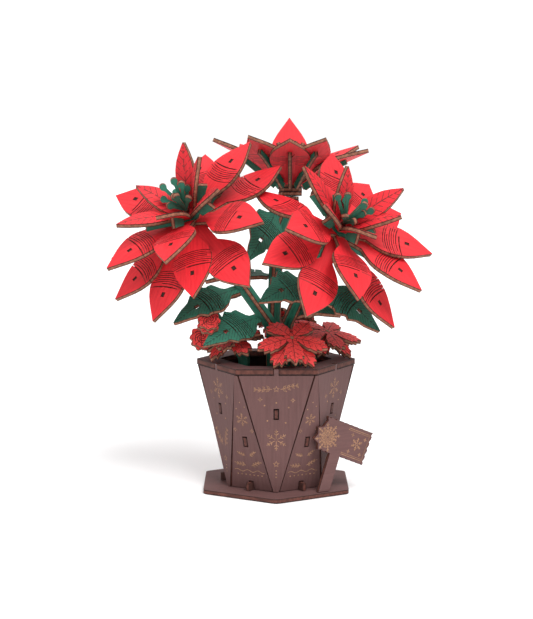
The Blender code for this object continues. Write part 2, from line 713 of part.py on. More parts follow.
def build_pot():
    base = rounded(polygon(BASE_RADIUS, 6, -90), BASE_ROUND)
    plate("base_plate", base, PLY, BROWN)
    ring = Matrix.Translation((0, 0, RIM_TOP - RIM_THICKNESS))
    hole = rounded(polygon(RIM_HOLE_RADIUS, 6, 0), RIM_HOLE_ROUND)
    plate("rim", rim_outline(), RIM_THICKNESS, BROWN, ring, [hole])
    for number in range(6):
        for hanging in (True, False):
            build_panel(number, hanging)
            build_rib(number, hanging)
    soil = polygon(SOIL_RADIUS, 24, 0)
    holes = [[Vector(points[0][:2]) * MM + p for p in polygon(STEM_HOLE_RADIUS, 8, 22.5)]
             for points in STEMS.values()]
    feet = [flower[-1] for flower in SMALL_FLOWERS.values()]
    holes += [rectangle(Vector(foot) * MM, POST_WIDTH + 2 * FIT, PLY + 2 * FIT)
              for foot in (*feet, BUD_FOOT)]
    plate("soil_plate", soil, PLY, DARK_BROWN, Matrix.Translation((0, 0, SOIL_HEIGHT)), holes)


def build_tag():
    """A card with stamped edges on a slanted stake."""
    width, height = TAG_SIZE
    turn = Matrix.Rotation(math.radians(TAG_TURN), 2)
    centre = Vector(TAG_CENTRE)
    card = []
    corners = ((-0.5, -0.5), (0.5, -0.5), (0.5, 0.5), (-0.5, 0.5))
    for k, corner in enumerate(corners):
        start = Vector((corner[0] * width, corner[1] * height))
        after = corners[(k + 1) % 4]
        end = Vector((after[0] * width, after[1] * height))
        teeth = round((end - start).length / STAMP)
        inward = Vector((-(end - start).y, (end - start).x)).normalized()
        for step in range(teeth):
            for part, deep in STAMP_STEPS:
                card.append(start.lerp(end, (step + part) / teeth) + inward * deep * STAMP_DEPTH)
    card = [centre + turn @ p for p in card]
    face = rotation("Z", TAG_AZIMUTH + 90) @ rotation("X", 90)
    matrix = Matrix.Translation(polar(TAG_DISTANCE - PLY, TAG_AZIMUTH).to_3d()) @ face
    foot = Vector(STAKE_FOOT)
    neck = centre + turn @ Vector((STAKE_TOP[0], height * STAKE_TOP[1]))
    side = Vector((STAKE_WIDTH / 2, 0))
    stake = [foot - side, foot + side, neck + side, neck - side]
    middle = Vector((width * BURST_MIDDLE[0], height * BURST_MIDDLE[1]))
    burst = [centre + turn @ (middle + polar(BURST_RADII[k % 2], 360 * k / BURST_POINTS))
             for k in range(BURST_POINTS)]
    pieces = [loose(flat_mesh(card, PLY), matrix)]
    pieces.append(loose(flat_mesh(stake, PLY), matrix))
    pieces.append(loose(flat_mesh(burst, PLY), matrix))
    fuse("tag", pieces, BROWN)


build_pot()
build_tag()
for head in HEADS:
    build_head(head)
    build_stem(head)
for leaf in LEAVES:
    build_leaf(leaf)
for flower in SMALL_FLOWERS:
    build_small_flower(flower)
build_buds()
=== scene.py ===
"""Looks of a plywood poinsettia: painted sheets with burnt edges, scored bends and engraved lines."""
import math
import bmesh
import bpy
from mathutils import Matrix, Vector


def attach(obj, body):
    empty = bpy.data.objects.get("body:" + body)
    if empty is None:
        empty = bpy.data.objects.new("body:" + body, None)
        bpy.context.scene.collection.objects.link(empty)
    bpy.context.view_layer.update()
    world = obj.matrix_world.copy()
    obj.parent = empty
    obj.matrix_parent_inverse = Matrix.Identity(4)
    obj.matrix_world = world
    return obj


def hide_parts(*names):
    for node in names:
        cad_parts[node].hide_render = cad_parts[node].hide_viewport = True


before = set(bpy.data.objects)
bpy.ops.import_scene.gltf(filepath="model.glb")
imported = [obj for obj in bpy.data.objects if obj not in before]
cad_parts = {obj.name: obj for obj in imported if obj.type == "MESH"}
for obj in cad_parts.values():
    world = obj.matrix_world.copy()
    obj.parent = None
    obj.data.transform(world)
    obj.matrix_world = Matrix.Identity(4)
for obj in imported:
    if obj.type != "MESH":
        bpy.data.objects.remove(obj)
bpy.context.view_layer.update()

MM = 0.001
PLY = 2.0 * MM
FIT = 0.3 * MM

# Pot
RIM_TOP = 62.45 * MM
RIM_THICKNESS = 2.8 * MM
PANEL_TOP_RADIUS = 38.0 * MM
PANEL_FOOT_RADIUS = 26.4 * MM
SOIL_HEIGHT = 48.0 * MM
# A tab in the rim's notch: half its width, and its ends from the panel's edge, in mm
RIM_TAB = (1.1, -0.2, 3.05)
# Engraved lines: height over the surface, depth, and widths in mm
LINE_HEIGHT = 0.03 * MM
LINE_DEPTH = 0.08 * MM
PANEL_LINE = 0.25
TAG_LINE = 0.3

# Tag
TAG_AZIMUTH = -60.0
TAG_DISTANCE = 33.2 * MM
TAG_TURN = -23.0
TAG_SIZE = (27.3, 16.3)
TAG_CENTRE = (19.2, 25.5)

# Large heads: hub in mm, azimuth of the axis and its lean from the vertical
HEADS = {
    "left": ((-39.5, -16.2, 131), -127.8, 41.9),
    "right": ((27.9, -28, 126.2), -44.7, 47.6),
    "back": ((7.2, 33, 142.5), 90, 5),
}
# Each petal: its angle round the head, how far it is lifted, and its extra length in mm
UPPER_PETALS = {
    "left": ((24, 9, 0), (86, -4, 0), (163, 1, 0), (203, -9, 0), (265, 2, 0), (331, -1, 0)),
    "right": ((26, -1, 1), (54, 6, 0), (96, -5, 0), (122, -7, 0), (153, -1, 0), (275, 4, -1),
              (334, -3, 0)),
    "back": ((179, 19, 0), (149, 22, 0), (204, 20, 0), (250, 16, -2), (95, 24, -1),
             (300, 20, 0), (40, 22, 0)),
}
LOWER_PETALS = {
    "left": ((326, 0, 1), (359, -3, 1.5), (26, 1, -7), (58, 0, 1), (154, 5, 0), (191, 2, 0),
             (229, -1.5, 0), (291, 1, 0)),
    "right": ((23, -4, 1), (315, 0, 0.5), (278, 1, -5), (100, 1, 0), (141, -1, 0), (192, -11, -2)),
    "back": (),
}
RAISED_PETALS = {"left": (), "right": (), "back": ((0, 0, 0),)}
# Each inner petal: its angle round the head, its rise from the head's plane and its length in mm
INNER_PETALS = {
    "left": ((184, 50, 33.2), (127, 54.5, 32), (272, 38, 28), (16.5, 40, 31), (322, 26, 35),
             (89, 31, 33)),
    "right": ((182, 50, 28), (84, 56, 33.3), (36, 52, 29.5), (337, 39, 31), (272, 33, 31),
              (217, 23.5, 34)),
    "back": ((73, 66, 16), (112, 68, 17.5), (157, 65, 18), (206, 67, 18), (249, 66, 17.5),
             (286, 68, 16)),
}
# Each stamen: its angle round the head, its rise and the distance of its head from the hub
STAMENS = {
    "left": ((196, 80, 22), (271, 75, 22), (284, 62, 17), (45, 72, 21), (130, 78, 21)),
    "right": ((238, 58, 22), (232, 70, 22), (346, 84, 22), (40, 74, 21), (110, 76, 20)),
    "back": ((0, 86, 18), (120, 86, 18), (240, 86, 18)),
}
# Shorter stamens between them
SHORT_STAMENS = {
    "left": ((150, 70, 17), (330, 68, 15), (230, 63, 15), (85, 66, 16.5), (10, 82, 17.5)),
    "right": ((285, 62, 16), (190, 66, 16.5), (20, 78, 17.5), (85, 70, 16), (330, 68, 14.5)),
    "back": (),
}
PETAL_ROOT = 2.5 * MM
INNER_ROOT = 3.0 * MM
INNER_DISC = 3.4
# An inner petal's bend: its place and how far it bows outwards, as shares of the length
INNER_BEND = (0.55, 0.045)
STAMEN_COLUMN = 1.3
STAMEN_COLUMN_TOP = 4.0 * MM
STAMEN_ROOT = 4.0 * MM
STAMEN_HALF_WIDTH = 0.8
STAMEN_HEAD = 1.65
# Layers: length in mm and rise of the neck, of the middle and of the tip end
UPPER_LAYER = ((25.1, 15), (8.5, 7), (13.6, -0.7))
LOWER_LAYER = ((29.5, -15.2), (8.5, -14.5), (13.6, -13.7))
RAISED_LAYER = ((25.1, 43), (8.5, 65), (13.6, 72))
HUB_RADIUS = 6.0
HUB_NOTCH = 0.7
DISC_GAP = 0.02 * MM
HUB_HALF = 3.0 * MM
HUB_TOP = {"left": 3.0 * MM, "right": 3.0 * MM, "back": 6.0 * MM}
# Struts: start and end along a petal in mm, and their depth in mm at both ends
STRUT_STEPS = 6
STRUT_GAP = 0.05 * MM
PETAL_STRUT_ROOT = 4.5
PETAL_STRUT = (3.6, 2.2)
INNER_STRUT_ROOT = 5.0
INNER_STRUT_END = 17.0
INNER_STRUT = (3.2, 5)
LONG_INNER = 20.0
# A strut's end in its slot: half-sizes in mm, and height over the sheet's middle
TAB_HALF = (0.85, 0.62)
TAB_TOP = 0.75 * MM

# Outlines in mm: distance from the tip, then one half-width or two
PETAL_OUTLINE = ((0, 0.1), (2, 1.4), (5, 3.5), (9, 6.2), (13, 8.4), (16.5, 9.5), (20, 9.9), (23, 9.6),
                 (26, 8.6), (29, 6.8), (31.5, 4.9), (33.5, 3.2), (60, 3))
INNER_OUTLINE = ((0, 0.1), (2, 1.2), (5, 2.8), (9, 4.4), (13, 5.3), (16, 5.5), (19, 5.2), (22, 4.5),
                 (25, 3.6), (28, 2.6), (60, 2.2))
LEAF_OUTLINE = ((0, 0.2, 0.2), (2, 1.3, 1.2), (4, 2.4, 2), (7, 3.8, 3.2), (10, 4.6, 4.8),
                (11.5, 5.2, 4.6), (12, 5.4, 4.4), (13.5, 7.6, 6.6), (14.5, 8.4, 8), (15.5, 7.5, 7.8),
                (16.5, 7, 7.6), (18.5, 8.4, 8.4), (21, 10.2, 9.6), (22, 9.4, 9.5), (23.5, 8.2, 9),
                (25, 8.6, 8), (27, 8.6, 7), (28.3, 6.2, 5.6), (29.5, 4, 4.4), (31, 2.8, 3),
                (60, 2.4, 2.4))
# The scored bend: rows of fine cuts across the sheet, and a slot nearer the tip
SLOT_NEAR = 12.4
SLOT_FAR = 14.8
FIRST_SCORE = 16.4
SCORE_STEP = 1.05
SCORE_AHEAD = 0.15
SCORE_WIDTH = 0.3
SCORE_BURN = 0.5
SCORE_DEPTH = 1.5 * MM
SCORES = 8
LAST_SCORE = FIRST_SCORE + SCORES * SCORE_STEP
SCORE_BULGE = 1.7
BULGE_AFTER = 1.0
BULGE_FALL = 5.0
SCORE_CELLS = (range(9), range(1, 10), range(7), range(1, 9), range(3, 10))
HALF_SLOT = 0.95
SIDE_CELLS = 4
ROW_STEP = 1.6
LEAST_ROW = 0.3
# Depth on a cut edge's map, over the whole thickness and down to a score's floor
FULL_DEPTH = 10.0
SCORE_LEVEL = 7.0
AROUND_STEP = 0.5
WELD = 0.002 * MM
ACROSS = Vector((0, 1, 0))

# Stems: bends in mm from the soil to under each hub
STEM_WIDTH = 6.4
POST_WIDTH = 4.4
STEM_TOP = 2.6 * MM
COLLAR_RADIUS = 4.5
COLLAR_NOTCH = 0.5
COLLAR_DISCS = ((3.6 * MM, 1.7 * MM), (1.6 * MM, 0))
FLOWER_POST_TOP = 4.3 * MM
BUD_POST_TOP = 2.4 * MM
POST_KNEE = 1.0 * MM
# A leaf's bend: its place and how far it bows upwards, as shares of the length
LEAF_BEND = (0.45, 0.1)
STEMS = {
    "left": ((-1.5, -5, 48.3), (-1.5, -5, 78), (-16, -9, 99)),
    "right": ((5.5, -1.5, 48.3), (5.5, -1.5, 80), (13.5, -10, 99)),
    "back": ((-1, 6, 48.3), (-1, 6, 80), (0.5, 20, 120)),
}
# Leaves: stem, height of the root, tip in mm, and where the face looks
LEAVES = {
    "left_front": ("left", 99, (-48, -25, 82.6), (0.2, -0.5, 1)),
    "left_back": ("left", 96, (-36, 14, 88.7), (0, -0.3, 1)),
    "left_low": ("left", 85, (-34.2, -29, 72.4), (0.1, -0.8, 0.8)),
    "centre": ("right", 101, (-8, -36, 94), (0.3, -0.8, 0.7)),
    "right_low": ("right", 89, (31, -10, 84.5), (0, -0.4, 1)),
    "right_front": ("right", 103, (48.5, -22, 78.4), (-0.2, -0.5, 1)),
    "right_back": ("right", 96, (45, 16, 90), (0, -0.2, 1)),
    "back_left": ("back", 128, (-14, 1, 109.5), (0.3, -0.9, 0.3)),
    "back_low": ("back", 101, (-35, 24, 97), (0, -0.1, 1)),
}
# Small flowers: centre in mm, azimuth and lean of the axis, spin, and the post's foot
SMALL_FLOWERS = {
    "front": ((7.4, -24, 75.2), -85, 30, 0, (10, -17.5)),
    "left": ((-22, -7.3, 75), -150, 20, 46, (-16, -6)),
    "right": ((25, 3, 74.5), -50, 20, 56, (18, 3)),
    "back": ((5, 29, 80), 100, 25, 0, (6, 18.5)),
}
UPPER_LOBE = (17, 10)
LOWER_LOBE = (16, 19)
# A lobe's edge: offset from its middle, where 1 is halfway to the next, and share of its length
LOBE_NOTCH = 5.2
SLIT_HALF_ANGLE = 3.1
KEYHOLE_HALF_ANGLE = 7.6
LOBE_EDGE = ((-1, 0.30), (-0.84, 0.32), (-0.78, 0.60), (-0.66, 0.64), (-0.60, 0.84), (-0.46, 0.79),
             (-0.38, 0.95), (-0.2, 0.90), (-0.05, 1.04), (0.02, 1.04), (0.16, 0.89), (0.36, 0.95),
             (0.44, 0.78), (0.60, 0.83), (0.66, 0.63), (0.78, 0.59), (0.83, 0.32), (1, 0.30))
# The straight and the curled share of a plate's droop
UPPER_CURL = (0.45, 0.004)
LOWER_CURL = (0.8, 0.012)
LAYER_DROP = 2.4 * MM
PEG = (1.1, -0.75, 0.75)
LOBE_SHORTER = 0.8
LOBE_STEPS = 240
LOBE_RINGS = (0.7, 2.4, 3.7, 5)
LOBE_RIPPLE = 0.12
BUD_RADIUS = 5.0
BUD_SCALLOP = 0.45
BUD_BEHIND = (0.8 * MM, 0.5 * MM, -PLY + 0.05 * MM)
BUD_LINE = 0.02 * MM
BUD_LEFT = ((-36, -14, 74.5), -80, 65)
BUD_LEFT_BACK = ((-33.5, 21, 84.5), 150, 55)
BUD_FOOT = (-15, 12)
BUD_ON_LEAF = (9.6 * MM, 7.6 * MM)

# Studio: azimuth and height in degrees, strength and spread in degrees of each soft lamp
SUNS = ((-58.0, 52.0, 2.9, 35.0), (-140.0, 42.0, 0.9, 60.0), (90.0, 60.0, 1.0, 60.0))
WORLD_LIGHT = 0.42
WORLD_SEEN = 1.05
FLOOR_REACH = 3.0
FLOOR_HEIGHT = -0.2 * MM
CAMERA_ELEVATION = 7.149
CAMERA_TARGET = (-0.004594, 0.0, 0.086359)
CAMERA_DISTANCE = 0.78152
CAMERA_LENS = 93.83
CAMERA_SENSOR = 36.0


def colour(red, green, blue):
    """A linear colour from a screen colour of 0 to 255."""
    parts = []
    for part in (red, green, blue):
        share = part / 255
        parts.append(share / 12.92 if share < 0.04 else ((share + 0.055) / 1.055) ** 2.4)
    return (*parts, 1.0)


# Paints: light, dark and line colours
RED = ((0.79, 0.022, 0.032, 1.0), (0.61, 0.012, 0.022, 1.0), (0.10, 0.015, 0.013, 1.0))
# The small flowers' paint: their own speckled red, made brighter as painted light where the lamps leave them
# dull
CORAL_WITH_PAINTED_LIGHT = ((0.95, 0.080, 0.075, 1.0), (0.84, 0.045, 0.048, 1.0), RED[2])
GREEN = ((0.035, 0.21, 0.135, 1.0), (0.022, 0.15, 0.10, 1.0), (0.008, 0.035, 0.024, 1.0))
# Stains: face and streaks
POT = (colour(104, 73, 71), colour(93, 64, 62))
SOIL = (colour(70, 46, 42), colour(48, 30, 27))
RIB = (colour(84, 52, 46), colour(60, 36, 31))
# Cut edges and lines: skins, middle plies and pale plies
CHAR = colour(52, 28, 22)
CUT_EDGE = (CHAR, colour(112, 66, 52), colour(160, 112, 88))
POT_EDGE = (colour(38, 20, 17), colour(84, 47, 40), colour(100, 58, 49))
BURNT_LINE = (CHAR, CHAR, colour(84, 30, 24))
ENGRAVED = (colour(166, 127, 98), colour(166, 127, 98), colour(182, 142, 110))

PAINT_ROUGHNESS = 0.62
EDGE_ROUGHNESS = 0.8
STAIN_ROUGHNESS = 0.7
FLOOR_ROUGHNESS = 0.9
GLOSS = 0.35
PAINT_RELIEF = 0.08 * MM
EDGE_RELIEF = 0.05 * MM
PORE_RELIEF = 0.06 * MM
FIBRE_RELIEF = 0.3
# Marks in the paint: how strongly they cover it, and how much is worn away
SCORE_STRENGTH = 0.62
VEIN_STRENGTH = 0.85
SPECK_STRENGTH = 0.45
WORN = 0.42
SPECKS_OVER = 0.63
# Veins: spacing in mm, slope and half-width in mm
PETAL_VEINS = (3.3, 0.9, 0.22)
LOBE_VEINS = (2.9, -0.8, 0.15)
LEAF_VEINS = (1.9, 1.1, 0.16)
MIDRIB = 1.3
# Sheets: spread and least of their brightness, and how far the grain shifts between them
SHEET_TONES = (0.16, 0.86)
SHEET_SHIFT = 40.0
EDGE_SHIFT = 60.0
# Below this cosine to the plate's normal a face is a cut edge
EDGE_FACING = 0.85
# The maps hold lengths in these numbers of mm
MAP_SCALE = 10.0
ROW_SCALE = 100.0
GOLDEN = 0.618034


def math_node(operation):
    """A method that works out a new value from a value and others."""
    return lambda self, *others: self.shade.node("Math", enumerate((self, *others)), operation=operation)


class Value:
    """A number that a material works out, so that sums with it can be written as sums."""

    __add__ = math_node("ADD")
    __sub__ = math_node("SUBTRACT")
    __mul__ = math_node("MULTIPLY")
    __truediv__ = math_node("DIVIDE")
    __lt__ = math_node("LESS_THAN")
    __gt__ = math_node("GREATER_THAN")
    __abs__ = math_node("ABSOLUTE")
    floor = math_node("FLOOR")
    fraction = math_node("FRACT")
    most = math_node("MAXIMUM")
    times_plus = math_node("MULTIPLY_ADD")

    def __init__(self, shade, socket):
        self.shade = shade
        self.socket = socket


class Shade:
    """A material and short ways to add nodes to it."""

    def __init__(self, name, roughness):
        self.material = bpy.data.materials.new(name)
        self.material.use_nodes = True
        self.tree = self.material.node_tree
        self.shader = self.tree.nodes["Principled BSDF"]
        self.shader.inputs["Roughness"].default_value = roughness
        self.shader.inputs["Specular IOR Level"].default_value = GLOSS

    def feed(self, socket, value):
        if isinstance(value, Value):
            self.tree.links.new(value.socket, socket)
        else:
            socket.default_value = value

    def node(self, kind, inputs=(), output=0, **settings):
        """What a new node gives, once it has its settings and its inputs."""
        made = self.tree.nodes.new("ShaderNode" + kind)
        for key, value in settings.items():
            setattr(made, key, value)
        for key, value in inputs:
            self.feed(made.inputs[key], value)
        return Value(self, made.outputs[output])

    def dot(self, vector, direction):
        inputs = ((0, vector), (1, tuple(direction)))
        return self.node("VectorMath", inputs, "Value", operation="DOT_PRODUCT")

    def combine(self, *parts):
        return self.node("CombineXYZ", enumerate(parts))

    def noise(self, place, scale, detail=3.0):
        return self.node("TexNoise", (("Vector", place), ("Scale", scale), ("Detail", detail)), "Fac")

    def ramp(self, factor, stops):
        made = self.tree.nodes.new("ShaderNodeValToRGB")
        line = made.color_ramp.elements
        while len(line) < len(stops):
            line.new(0.5)
        for element, (place, tone) in zip(line, stops):
            element.position = place
            element.color = tone
        self.feed(made.inputs[0], factor)
        return Value(self, made.outputs[0])

    def mix(self, factor, first, second, blend="MIX"):
        inputs = (("Factor", factor), (6, first), (7, second))
        return self.node("Mix", inputs, 2, data_type="RGBA", blend_type=blend)

    def bump(self, height, distance, strength=0.6):
        inputs = (("Height", height), ("Distance", distance), ("Strength", strength))
        self.feed(self.shader.inputs["Normal"], self.node("Bump", inputs))

    def map(self, name):
        """The two numbers of a map."""
        place = self.node("UVMap", uv_map=name)
        return [self.node("SeparateXYZ", ((0, place),), part) for part in (0, 1)]

    def paint(self, tone):
        self.feed(self.shader.inputs["Base Color"], tone)
        return self.material


def painted(name, light, dark, line, veins=None, speckled=False, scored=False):
    """Matt paint on veneer: streaks of grain, a tone for each sheet, and engraved lines."""
    shade = Shade(name, PAINT_ROUGHNESS)
    run, side = (part * MAP_SCALE for part in shade.map("shape"))
    number, row = shade.map("piece")
    shift = number * SHEET_SHIFT
    along = run + shift
    streak = shade.noise(shade.combine(along * 0.09, side, shift), 0.9)
    fibre = shade.noise(shade.combine(along * 0.5, side * 6.0, shift), 1.0, 2.0)
    tone = shade.ramp(streak * 0.7 + fibre * 0.3, ((0.3, dark), (0.62, light)))
    fade = number.times_plus(*SHEET_TONES)
    tone = shade.mix(1.0, tone, shade.combine(fade, fade, fade), "MULTIPLY")
    height = fibre
    if scored:
        count = (row * ROW_SCALE - (FIRST_SCORE - SCORE_AHEAD)) / SCORE_STEP
        burnt = (count.fraction() < SCORE_BURN / SCORE_STEP) * (count > 0) * (count < SCORES)
        broken = shade.noise(shade.combine(side * 0.22, count.floor() * 2.3, shift), 1.0, 0.0)
        tone = shade.mix(burnt * (broken > WORN) * SCORE_STRENGTH, tone, line)
    if veins:
        spacing, slope, width = veins
        across = abs(side)
        place = across.times_plus(slope, run) / spacing
        rows = abs(place.fraction() - 0.5) < width / spacing
        lines = (across < width * MIDRIB).most(rows)
        lines *= shade.noise(shade.combine(run, side, shift), 0.5) > WORN
        tone = shade.mix(lines * VEIN_STRENGTH, tone, line)
        height = fibre * FIBRE_RELIEF - lines
    if speckled:
        spots = shade.noise(shade.combine(run * 0.8, side * 1.7, shift), 1.6, 1.0) > SPECKS_OVER
        tone = shade.mix(spots * SPECK_STRENGTH, tone, line)
        height = fibre * FIBRE_RELIEF - spots
    shade.bump(height, PAINT_RELIEF)
    return shade.paint(tone)


def layered(shade, depth, run, dark, middle, light):
    """Unevenly burnt plies: charred skins, with paler wood between."""
    burnt = shade.noise(shade.combine(run, depth * 1.5), 0.6)
    shift = burnt.times_plus(0.16, depth - 0.08)
    plies = shade.ramp(shift, ((0.06, dark), (0.2, middle), (0.34, light), (0.46, light),
                               (0.52, middle), (0.6, light), (0.8, middle), (0.93, dark)))
    char = shade.ramp(burnt, ((0.35, (0.55, 0.5, 0.48, 1)), (0.65, (1.15, 1.12, 1.1, 1))))
    return shade.mix(1.0, plies, char, "MULTIPLY")


def cut_edge(name, plies):
    """Plies on sheets' edges, whose map gives the run along the edge and the depth."""
    shade = Shade(name, EDGE_ROUGHNESS)
    run, depth = (part * MAP_SCALE for part in shade.map("shape"))
    depth *= 1 / FULL_DEPTH
    run = shade.map("piece")[0].times_plus(EDGE_SHIFT, run)
    tone = layered(shade, depth, run, *plies)
    shade.bump(depth, EDGE_RELIEF, 0.3)
    return shade.paint(tone)


def stained_plate(name, normal, offset, thickness, grain, face, streaks):
    """Grain on the faces of a plate in the plane of a normal, and plies on its cut edges."""
    shade = Shade(name, STAIN_ROUGHNESS)
    normal = normal.normalized()
    grain = grain.normalized()
    place = shade.node("TexCoord", output="Object")
    facing = abs(shade.dot(shade.node("NewGeometry", output="Normal"), normal))
    run = shade.dot(place, grain) * (1 / MM)
    side = shade.dot(place, normal.cross(grain)) * (1 / MM)
    depth = (shade.dot(place, normal) - offset) / thickness
    streak = shade.noise(shade.combine(run * 0.05, side * 0.8), 1.0, 4.0)
    pores = shade.noise(shade.combine(run * 0.4, side * 7.0), 1.0, 1.0)
    tone = shade.ramp(streak * 0.65 + pores * 0.35, ((0.34, streaks), (0.62, face)))
    plies = layered(shade, depth, run + side, *POT_EDGE)
    shade.bump(pores, PORE_RELIEF, 0.5)
    return shade.paint(shade.mix(facing < EDGE_FACING, tone, plies))


red = painted("red paint", *RED, scored=True)
red_veined = painted("red paint veined", *RED, PETAL_VEINS)
# Speckled paint of the small flowers, with painted light in its brighter tones
coral_with_painted_light = painted("red paint speckled with painted light", *CORAL_WITH_PAINTED_LIGHT, LOBE_VEINS, speckled=True)
green = painted("green paint", *GREEN)
green_veined = painted("green paint veined", *GREEN, LEAF_VEINS, scored=True)
edge = cut_edge("cut edge", CUT_EDGE)
engraved = cut_edge("engraved line", ENGRAVED)
burnt_line = cut_edge("burnt line", BURNT_LINE)
stained = painted("brown stain", *POT, CHAR)
pot_edge = cut_edge("pot cut edge", POT_EDGE)


class Bunch:
    """Faces of many sheets that go in one piece."""

    def __init__(self, *materials):
        self.materials = materials
        self.faces = []
        self.number = 0

    def face(self, points, shapes, kind):
        self.faces.append((points, shapes, kind, self.number * GOLDEN % 1.0))

    def wall(self, top, low, run, kind, depths=(0, FULL_DEPTH)):
        """A face across an edge, from two points above to two below."""
        shapes = [(run[1], depths[0]), (run[0], depths[0]), (run[0], depths[1]), (run[1], depths[1])]
        self.face([top[1], top[0], low[0], low[1]], shapes, kind)

    def make(self, name, node=None):
        """A piece of all the faces, which may stand for a node of the frame."""
        corners = []
        rings = []
        for points, *_ in self.faces:
            rings.append(tuple(range(len(corners), len(corners) + len(points))))
            corners += [tuple(p) for p in points]
        mesh = bpy.data.meshes.new(name)
        mesh.from_pydata(corners, [], rings)
        shape = mesh.uv_layers.new(name="shape")
        piece = mesh.uv_layers.new(name="piece")
        for polygon, (points, shapes, kind, number) in zip(mesh.polygons, self.faces):
            polygon.material_index = kind
            for loop, place in zip(polygon.loop_indices, shapes):
                shape.data[loop].uv = (place[0] / MAP_SCALE, place[1] / MAP_SCALE)
                piece.data[loop].uv = (number, place[2] / ROW_SCALE if len(place) > 2 else 0.0)
        for material in self.materials:
            mesh.materials.append(material)
        obj = bpy.data.objects.new(name, mesh)
        bpy.context.scene.collection.objects.link(obj)
        weld(obj)
        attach(obj, "root")
        if node:
            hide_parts(node)


def weld(obj):
    """Joins the faces' shared corners, so that each sheet is one closed body."""
    work = bmesh.new()
    work.from_mesh(obj.data)
    bmesh.ops.remove_doubles(work, verts=work.verts, dist=WELD)
    work.to_mesh(obj.data)
    work.free()


def rotation(axis, degrees):
    return Matrix.Rotation(math.radians(degrees), 4, axis)


def polar(radius, degrees):
    angle = math.radians(degrees)
    return Vector((radius * math.cos(angle), radius * math.sin(angle)))


def raised(height):
    return Matrix.Translation((0, 0, height))


def oblong(half, low, high):
    return ((-half, low), (half, low), (half, high), (-half, high))


def along_axes(run, wide, normal):
    return Matrix((run, wide, normal)).transposed().to_4x4()


def head_matrix(hub, azimuth, lean):
    return Matrix.Translation(Vector(hub) * MM) @ rotation("Z", azimuth) @ rotation("Y", lean)


def prism(bunch, outline, low, high, matrix, face=0, side=1):
    """A plate with an outline in mm, between two heights over the matrix's plane."""
    bunch.number += 1
    area = sum(a[0] * b[1] - b[0] * a[1] for a, b in zip(outline, [*outline[1:], outline[0]]))
    if area < 0:
        outline = outline[::-1]
    top = [matrix @ Vector((p[0] * MM, p[1] * MM, high)) for p in outline]
    bottom = [matrix @ Vector((p[0] * MM, p[1] * MM, low)) for p in outline]
    flat = [(p[0], p[1]) for p in outline]
    bunch.face(top, flat, face)
    bunch.face(bottom[::-1], flat[::-1], face)
    run = 0.0
    for k in range(len(outline)):
        after = (k + 1) % len(outline)
        step = (Vector(outline[after][:2]) - Vector(outline[k][:2])).length
        bunch.wall((top[k], top[after]), (bottom[k], bottom[after]), (run, run + step), side)
        run += step


def ribbon(bunch, points, width, height, matrix, closed=False):
    """A fine line along points in mm, with its top at a height over the matrix's plane."""
    points = [Vector(p) for p in points]
    count = len(points)
    sides = []
    for k, point in enumerate(points):
        before = points[k - 1] if closed or k else point
        after = points[(k + 1) % count] if closed or k < count - 1 else point
        run = (after - before).normalized()
        sides.append(Vector((-run.y, run.x)) * width / 2)
    bunch.number += 1
    last = count if closed else count - 1
    for k in range(last):
        after = (k + 1) % count
        ring = [points[k] - sides[k], points[after] - sides[after],
                points[after] + sides[after], points[k] + sides[k]]
        top = [matrix @ Vector((p.x * MM, p.y * MM, height)) for p in ring]
        low = [matrix @ Vector((p.x * MM, p.y * MM, height - LINE_DEPTH)) for p in ring]
        bunch.face(top, [(p.x, FULL_DEPTH / 2) for p in ring], 0)
        bunch.face(low[::-1], [(p.x, FULL_DEPTH / 2) for p in ring], 0)
        walls = [(0, 1), (2, 3)]
        if not closed and k == 0:
            walls.append((3, 0))
        if not closed and k == last - 1:
            walls.append((1, 2))
        for a, b in walls:
            bunch.wall((top[a], top[b]), (low[a], low[b]), (0, 0), 0, (FULL_DEPTH / 2, FULL_DEPTH / 2))


def softened(points, rounds=2):
    """A path with its corners cut."""
    for _ in range(rounds):
        cut = [points[0]]
        for start, end in zip(points, points[1:]):
            cut += [start.lerp(end, 0.25), start.lerp(end, 0.75)]
        points = [*cut[:1], *cut[2:-1], points[-1]] if len(cut) > 3 else points
    return points


def path_length(path):
    return sum((b - a).length for a, b in zip(path, path[1:])) / MM


def from_tip(path, distance):
    """The point this far from a path's end, and the way it runs to that end."""
    for start, end in zip(path[::-1], path[-2::-1]):
        step = (end - start).length
        if distance <= step or end is path[0]:
            return start.lerp(end, distance / step), (start - end).normalized()
        distance -= step
    raise ValueError("an empty path")


def between(table, place):
    """A table's other columns at a place in its first column."""
    for near, far in zip(table, table[1:]):
        if place <= far[0]:
            part = (place - near[0]) / (far[0] - near[0])
            return [a + (b - a) * part for a, b in zip(near[1:], far[1:])]
    return table[-1][1:]


def sheet_rows(outline, total, scored):
    """Distances of a sheet's rows from the tip in mm, with the slot's and the scores' marked."""
    rows = {row[0]: None for row in outline if row[0] < total}
    rows[total] = None
    place = ROW_STEP
    while place < total:
        rows[round(place, 3)] = None
        place += ROW_STEP
    if scored:
        rows = {d: None for d in rows if not (SLOT_NEAR - 0.5 < d < LAST_SCORE + LEAST_ROW)}
        rows[SLOT_NEAR] = "slot"
        rows[SLOT_FAR] = None
        for k in range(SCORES):
            rows[round(FIRST_SCORE + k * SCORE_STEP, 3)] = k
            rows[round(FIRST_SCORE + k * SCORE_STEP + SCORE_WIDTH, 3)] = "land"
        rows[LAST_SCORE] = None
    ordered = sorted(rows)
    kept = [ordered[0]]
    for place in ordered[1:]:
        if place - kept[-1] > LEAST_ROW or rows[place] is not None or place == total:
            kept.append(place)
    return kept, rows


def bulge(distance):
    """How far a row bows towards the root at the middle of the sheet."""
    full = FIRST_SCORE + SCORE_STEP
    rise = min(1.0, max(0.0, (distance - SLOT_FAR) / (full - SLOT_FAR)))
    fall = min(1.0, max(0.0, (LAST_SCORE + BULGE_AFTER + BULGE_FALL - distance) / BULGE_FALL))
    return SCORE_BULGE * rise * fall


